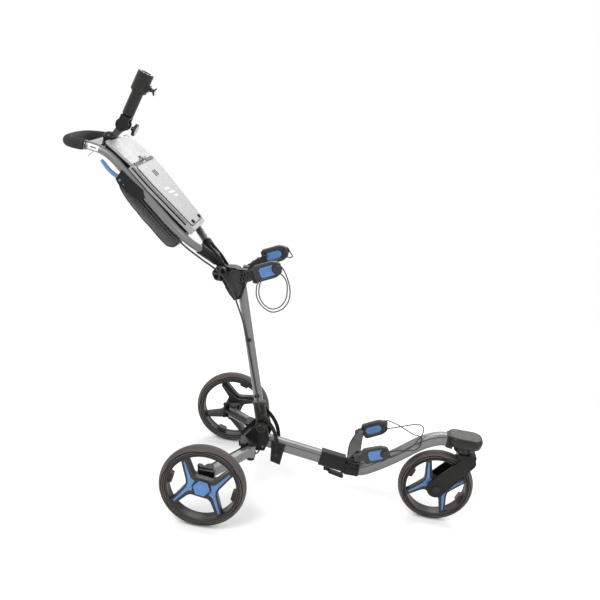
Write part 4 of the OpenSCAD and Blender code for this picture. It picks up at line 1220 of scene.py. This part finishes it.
def make_console():
    base = polish("console_base", "handle", "silver_plastic", 0.0024, 3)

    def below(p):
        return (p - PANEL_TOP).dot(OFF_SLOPE) < -0.0196 or p.x < -0.5046

    two_tone(base, SATIN_BLACK, below)
    polish("console_lid", "console_lid", "silver_plastic", 0.003, 3)
    polish("lid_latch", "lid_latch", "gloss_black", 0.0008)
    gasket = slab("panel_gasket", rounded_outline(panel_outline(6.0, 9, 250), 14), 0.0, 0.0012, BLACK, 0.0004, 1,
                  PANEL)
    settle(gasket, "handle", "silver_plastic")
    panel = slab("panel_top", rounded_outline(panel_outline(8.5, 11.5, 247.5), 12, 6), 0.0009, 0.0036, SILVER, 0.0012,
                 3, PANEL)
    settle(panel, "handle", "silver_plastic")
    gaps = [slab("lid_gap", rounded_outline(rectangle(0.6, 7.6, near, far), 2), -0.0004, 0.0016, BLACK, 0.0004, 1,
                 PANEL) for near, far in ((-104, -20), (20, 104))]
    settle(join("lid_gap", gaps), "handle", "silver_plastic")
    for s, side in SIDES:
        for name, low, high, material in (("seal", -0.0112, -0.0068, BLACK), ("ribs", -0.0060, -0.0016, RIBS)):
            band, n = [], (low + high) * 500
            steps = [(5 + 12 * k, 17 + 12 * k) for k in range(19)] if name == "seal" else [
                (8 + 4 * k, 10.6 + 4 * k) for k in range(56)]
            for near, far in steps:
                outline = [(near, base_half(near, n) - 1.2), (far, base_half(far, n) - 1.2),
                           (far, base_half(far, n) + 0.6), (near, base_half(near, n) + 0.6)]
                outline = [(u / 1000, s * y / 1000) for u, y in outline]
                band.append(slab("band", outline if s > 0 else list(reversed(outline)), low, high, material, 0, 1,
                                 PANEL))
            settle(join("panel_%s_%s" % (name, side), band), "handle", "silver_plastic")
    for n, y in enumerate((-44, 44)):
        bumper = lathe("bumper_%d" % n, [(0, 0.0056), (0.0044, 0.0056), (0.0062, 0.004), (0.0068, 0.0), (0, 0.0)],
                       BLACK, PANEL @ shift(239, y, 3.5), 32)
        settle(bumper, "handle", "silver_plastic")
    for n, (u, y, length) in enumerate(((112, -18, 44), (128, -4, 56), (144, 12, 36))):
        bar = [(u - 5, y - length / 2), (u + 2, y - length / 2 + 5), (u + 5, y + length / 2),
               (u - 2, y + length / 2 - 5)]
        mark = slab("panel_mark_%d" % n, rounded_outline(bar, 1), 0.0034, 0.0038, LABEL, 0, 1, PANEL)
        settle(mark, "handle", "silver_plastic")
    for n, y in enumerate((-14, 0, 14)):
        slot = slab("tee_slot_%d" % n, rounded_outline(rectangle(42, 64, y - 3, y + 3), 3, 5), 0.0032, 0.0044, BLACK,
                    0.0003, 1, PANEL)
        settle(slot, "handle", "silver_plastic")
    for s, side in SIDES:
        line = smooth(flat_path([(-578.5, 1080.0), (-560, 1067.7), (-520, 1041.3), (-499.5, 1027.7)], s * 0.1114), 3)
        edge = sweep("lid_gasket_" + side, line, rounded_section(0.003, 0.0022, 0.0008, 2), BLACK)
        settle(edge, "console_lid", "silver_plastic")


make_console()


# ---------------------------------------------------------------- umbrella holder

SLEEVE = Matrix.Translation(UMBRELLA) @ spin(UMBRELLA_LEAN, "Y")
KNOB = shift(-530, 0, 1121) @ spin(UMBRELLA_LEAN + 90, "Y")


def make_umbrella_holder():
    tube_profile = [(0.0141, 0.1685), (0.0148, 0.1698), (0.0238, 0.1698), (0.0249, 0.1688), (0.0249, 0.112),
                    (0.0238, 0.109), (0.0196, 0.1065), (0.0181, 0.1035), (0.0180, 0.036), (0.0172, 0.0315),
                    (0.0150, 0.0286), (0.0, 0.0286), (0.0, 0.0345), (0.0136, 0.0345), (0.0141, 0.0355)]

    def ribbed(i, angle, r, z):
        raised = 0.0005 if 3 <= i <= 6 and int(angle / math.radians(7.5)) % 2 else 0.0
        return (r - raised, z)

    tube_part = lathe("umbrella_sleeve", tube_profile, SATIN_BLACK, SLEEVE, 96, 30, ribbed)
    boss = slab("umbrella_boss", rounded_outline(rectangle(12, 29.5, -13.5, 13.5), 4), 0.1195, 0.1425, SATIN_BLACK,
                0.002, 3, SLEEVE)
    screw_line = shift(10, 0, 131) @ spin(90, "Y")
    cut_by(boss, lathe("bore", [(0, 0), (0.00405, 0), (0.00405, 0.03), (0, 0.03)], BLACK, SLEEVE @ screw_line, 32))
    core = lathe("core", [(0, 0.10), (0.0141, 0.10), (0.0141, 0.16), (0, 0.16)], BLACK, SLEEVE, 48)
    cut_by(boss, core)
    settle(join("umbrella_tube_fine", [tube_part, boss]), "umbrella_holder", "black_plastic", "umbrella_tube")
    screw = lathe("umbrella_screw_rod", [(0, 0.0062), (0.0032, 0.0062), (0.0039, 0.0069), (0.0039, 0.0215),
                                         (0.0062, 0.0222), (0.0068, 0.0235), (0.0068, 0.0255), (0.0055, 0.0272),
                                         (0, 0.0272)], SATIN_BLACK, screw_line, 32)
    wing = plate("umbrella_screw_wing", rounded_outline([
        (36.5, 127), (40, 126.5), (46.8, 117.5), (48, 120), (44.5, 131), (48, 142), (46.8, 144.5), (40, 135.5),
        (36.5, 135)], 2.4, 5), -0.0043, 0.0043, SATIN_BLACK, 0.0014, 3)
    piece = join("umbrella_screw_fine", [screw, wing])
    piece.data.transform(SLEEVE)
    settle(piece, "umbrella_screw", "black_plastic", "umbrella_screw")
    polish("umbrella_knuckle", "umbrella_holder", "black_plastic", 0.0018, 3)

    def fluted(i, angle, r, z):
        return (r - (0.0011 * (1 + math.cos(16 * angle)) / 2 if r > 0.0185 else 0), z)

    knob = lathe("umbrella_knob_cap", [
        (0, -0.0072), (0.0058, -0.0072), (0.0068, -0.006), (0.0068, 0.0002), (0.0175, 0.0004), (0.0192, 0.0014),
        (0.0198, 0.003), (0.0198, 0.0074), (0.0188, 0.009), (0.0165, 0.0096), (0.0150, 0.0092), (0, 0.0092)],
        SATIN_BLACK, KNOB, 96, 30, fluted)
    settle(knob, "umbrella_knob", "black_plastic", "umbrella_knob")
    face = lathe("umbrella_knob_face", [(0, 0.0086), (0.0145, 0.0086), (0.0145, 0.0094), (0.0128, 0.0099),
                                        (0.0126, 0.0096), (0.004, 0.0096), (0.0034, 0.0099), (0, 0.0099)], STEEL,
                 KNOB, 64, 30)
    settle(face, "umbrella_knob", "steel")
    dome = lathe("umbrella_seat", [(0, 0.0132), (0.0198, 0.0132), (0.0204, 0.0142), (0.0202, 0.0280), (0.0188, 0.034),
                                   (0.0150, 0.0395), (0.0085, 0.0424), (0, 0.0430)], SATIN_BLACK,
                 shift(-600, 0, 1060), 96, 50)
    settle(dome, "handle", "black_plastic")
    for s in (-1, 1):
        teeth = lathe("joint_teeth", [(0.0060, 0.0112), (0.0112, 0.0112), (0.0112, 0.01145), (0.0060, 0.01145)],
                      SATIN_BLACK, Matrix.Translation(UMBRELLA) @ spin(-90 * s, "X"), 48, 20)
        settle(teeth, "handle", "black_plastic")


make_umbrella_holder()


# ---------------------------------------------------------------- brake cable

CABLE_HANDLE = [(-462, -110, 943), (-450, -112, 931), (-425, -114, 908), (-392, -114, 879), (-360, -112, 851),
                (-330, -103, 827), (-304, -88, 804), (-280, -72, 785), (-256, -61, 768), (-236, -57, 757),
                (-219, -57, 748), (-203, -57, 738)]
CABLE_SHAFT = [(-202, -57, 737), (-188, -56, 724), (-174, -52, 708), (-160, -40, 686), (-150, -30, 662),
               (-139, -25, 636), (-118, -20.4, 590), (-99, -19.4, 540), (-79, -19.2, 480), (-60, -19.2, 420),
               (-40, -19.4, 360), (-24, -23.6, 308), (-16, -23.6, 289), (-10, -22.4, 270), (-7, -20, 250)]


def make_brake_cable():
    both = CABLE_HANDLE[:-1] + [(-202.5, -57, 737.5)] + CABLE_SHAFT[1:]
    cable = tube("brake_cable", millimetres(both), 0.0056, JACKET, (0, 1, 0), 6, 16)
    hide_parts("handle_cable", "shaft_cable")
    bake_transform(cable)
    for name, end, along, body in (("upper", CABLE_HANDLE[0], Vector((-12, 2, 12)), "handle"),
                                   ("lower", CABLE_SHAFT[-1], Vector((-3, -2, 20)), "shaft")):
        at = Vector(end) / 1000
        way = along.normalized() / 1000
        line = [at + way * k for k in (-9, -8, 0, 7, 8)] if name == "lower" else [
            at - way * k for k in (-1, 0, 8, 15, 16)]
        ferrule = sweep("cable_ferrule_" + name, line, circle_section(0.0038, 20), SATIN_BLACK, (0, 1, 0),
                        sizes=[0.8, 1, 1, 1, 0.85])
        settle(ferrule, body, "cable_jacket")


make_brake_cable()


# ---------------------------------------------------------------- pouch

POUCH_STATIONS = [
    ((-522.5, 989), (-528, 999), 80), ((-519, 986), (-534, 987), 84), ((-513, 980), (-540, 964), 86),
    ((-503, 972), (-532, 948), 87), ((-485, 956), (-510, 920), 87), ((-460, 934), (-485, 894), 87),
    ((-428, 906), (-454, 865), 87), ((-394, 877), (-419, 836), 87), ((-366, 854), (-389, 810), 86.5),
    ((-350, 840), (-371, 797), 86), ((-342, 834), (-351, 797), 85), ((-337, 828), (-336, 811), 81)]


def pouch_ring(top, low, half):
    """One closed ring of the pouch: flat above, round below, its sides a little full."""
    top, low = Vector(top) / 1000, Vector(low) / 1000
    depth = (low - top).length
    down = (low - top).normalized()
    half /= 1000
    small, large = min(0.004, depth * 0.3), min(0.011, depth * 0.45)
    ring = []
    for s, turn in ((1, 1), (-1, -1)):
        corner = [(half - small + small * math.sin(a), small - small * math.cos(a))
                  for a in (0.0, math.pi / 4, math.pi / 2)]
        corner += [(half + 0.0008, depth * 0.5)]
        corner += [(half - large + large * math.cos(a), depth - large + large * math.sin(a))
                   for a in (0.0, math.pi / 6, math.pi / 3, math.pi / 2)]
        corner += [(half * 0.35, depth)]
        side = [(s * y, d) for y, d in corner]
        ring += side if turn > 0 else list(reversed(side))
    return [Vector((top.x + down.x * (0.0015 + d), y, top.y + down.y * (0.0015 + d))) for y, d in ring]


CLOTH_STEPS, CLOTH_PRESSURE, CLOTH_REACH = 20, 4.0, 0.0045


def blown(obj, pinned, pressure, most, steps):
    """Air in a cloth shell: simulated, then no point kept further than most from where it began."""
    bpy.context.view_layer.objects.active = obj
    start = [v.co.copy() for v in obj.data.vertices]
    group = obj.vertex_groups.new(name="held")
    group.add([v.index for v in obj.data.vertices if pinned(v.co)], 1.0, "REPLACE")
    cloth = obj.modifiers.new("cloth", "CLOTH")
    cloth.settings.quality = 6
    cloth.settings.mass = 0.2
    cloth.settings.tension_stiffness = cloth.settings.compression_stiffness = 25
    cloth.settings.bending_stiffness = 1.2
    cloth.settings.use_pressure = True
    cloth.settings.uniform_pressure_force = pressure
    cloth.settings.effector_weights.gravity = 0
    cloth.settings.vertex_group_mass = "held"
    cloth.point_cache.frame_start, cloth.point_cache.frame_end = 1, steps
    for n in range(1, steps + 1):
        bpy.context.scene.frame_set(n)
    shown = obj.evaluated_get(bpy.context.evaluated_depsgraph_get())
    moved = [v.co.copy() for v in shown.data.vertices]
    obj.modifiers.remove(cloth)
    bpy.context.scene.frame_set(1)
    for v, was, now in zip(obj.data.vertices, start, moved):
        step = now - was
        v.co = was + step * min(1.0, most / max(step.length, 1e-9))
    return obj


def onto(shell, points, lift=0.0):
    """Points moved to the nearest place on a shell's surface."""
    bm = bmesh.new()
    bm.from_mesh(shell.data)
    tree = BVHTree.FromBMesh(bm)
    result = []
    for p in points:
        at, normal, _, _ = tree.find_nearest(p)
        result.append(at + normal * lift)
    bm.free()
    return result


def make_pouch():
    shell = loft("pouch_shell", [pouch_ring(*station) for station in POUCH_STATIONS], FABRIC, 180)
    remesh = shell.modifiers.new("remesh", "REMESH")
    remesh.mode, remesh.voxel_size, remesh.use_smooth_shade = "VOXEL", 0.0055, True
    even = shell.modifiers.new("even", "SMOOTH")
    even.factor, even.iterations = 0.5, 2
    apply_modifiers(shell)
    corner = Vector((-0.5215, 0, 0.988))

    def near_the_top(p):
        return (p - corner).dot(OFF_SLOPE) > -0.010

    blown(shell, near_the_top, CLOTH_PRESSURE, CLOTH_REACH, CLOTH_STEPS)
    finer = shell.modifiers.new("finer", "SUBSURF")
    finer.levels = finer.render_levels = 1
    apply_modifiers(shell)
    for face in shell.data.polygons:
        face.use_smooth = True
    settle(shell, "handle", "pouch_fabric", "pouch")
    low = [(-531, 994), (-537, 972), (-524, 943), (-500, 912), (-459, 872), (-418, 838), (-378, 805), (-354, 800),
           (-338, 812)]
    for s, side in SIDES:
        line = onto(shell, smooth(flat_path(low, s * 0.0840), 6), 0.0002)
        for _ in range(2):
            line = [line[0]] + [(a + b * 2 + c) / 4 for a, b, c in zip(line, line[1:], line[2:])] + [line[-1]]
        piping = sweep("pouch_piping_" + side, line, circle_section(0.0017, 12), SATIN_BLACK, (0, s, 0))
        settle(piping, "handle", "pouch_fabric")
    track = smooth(flat_path([(-519, 968), (-492, 943), (-450, 906), (-400, 863), (-362, 831)], -0.090), 8)
    track = onto(shell, track, 0.0002)
    zip_tape = sweep("pouch_zip_tape", track, rounded_section(0.0085, 0.0012, 0.0005, 2), SATIN_BLACK)
    settle(zip_tape, "handle", "pouch_fabric")
    teeth = []
    for a, b in zip(track, track[1:]):
        half_tooth = (b - a).normalized() * 0.0006
        for k in range(3):
            at = a + (b - a) * (k / 3) + Vector((0, -0.0007, 0))
            teeth.append(sweep("tooth", [at - half_tooth, at + half_tooth],
                               rounded_section(0.0030, 0.0009, 0.0003, 1), GREY_METAL))
    settle(join("pouch_zip_teeth", teeth), "handle", "pouch_fabric")
    hang = [track[3] + Vector(d) for d in ((0, -0.0015, 0), (0.0015, -0.0022, -0.006), (0.0022, -0.0020, -0.018))]
    pull = tube("pouch_zip_pull", hang, 0.0026, BLACK, (0, 1, 0), 4, 12)
    settle(pull, "handle", "pouch_fabric")


make_pouch()

dress_nodes()
bpy.context.view_layer.update()
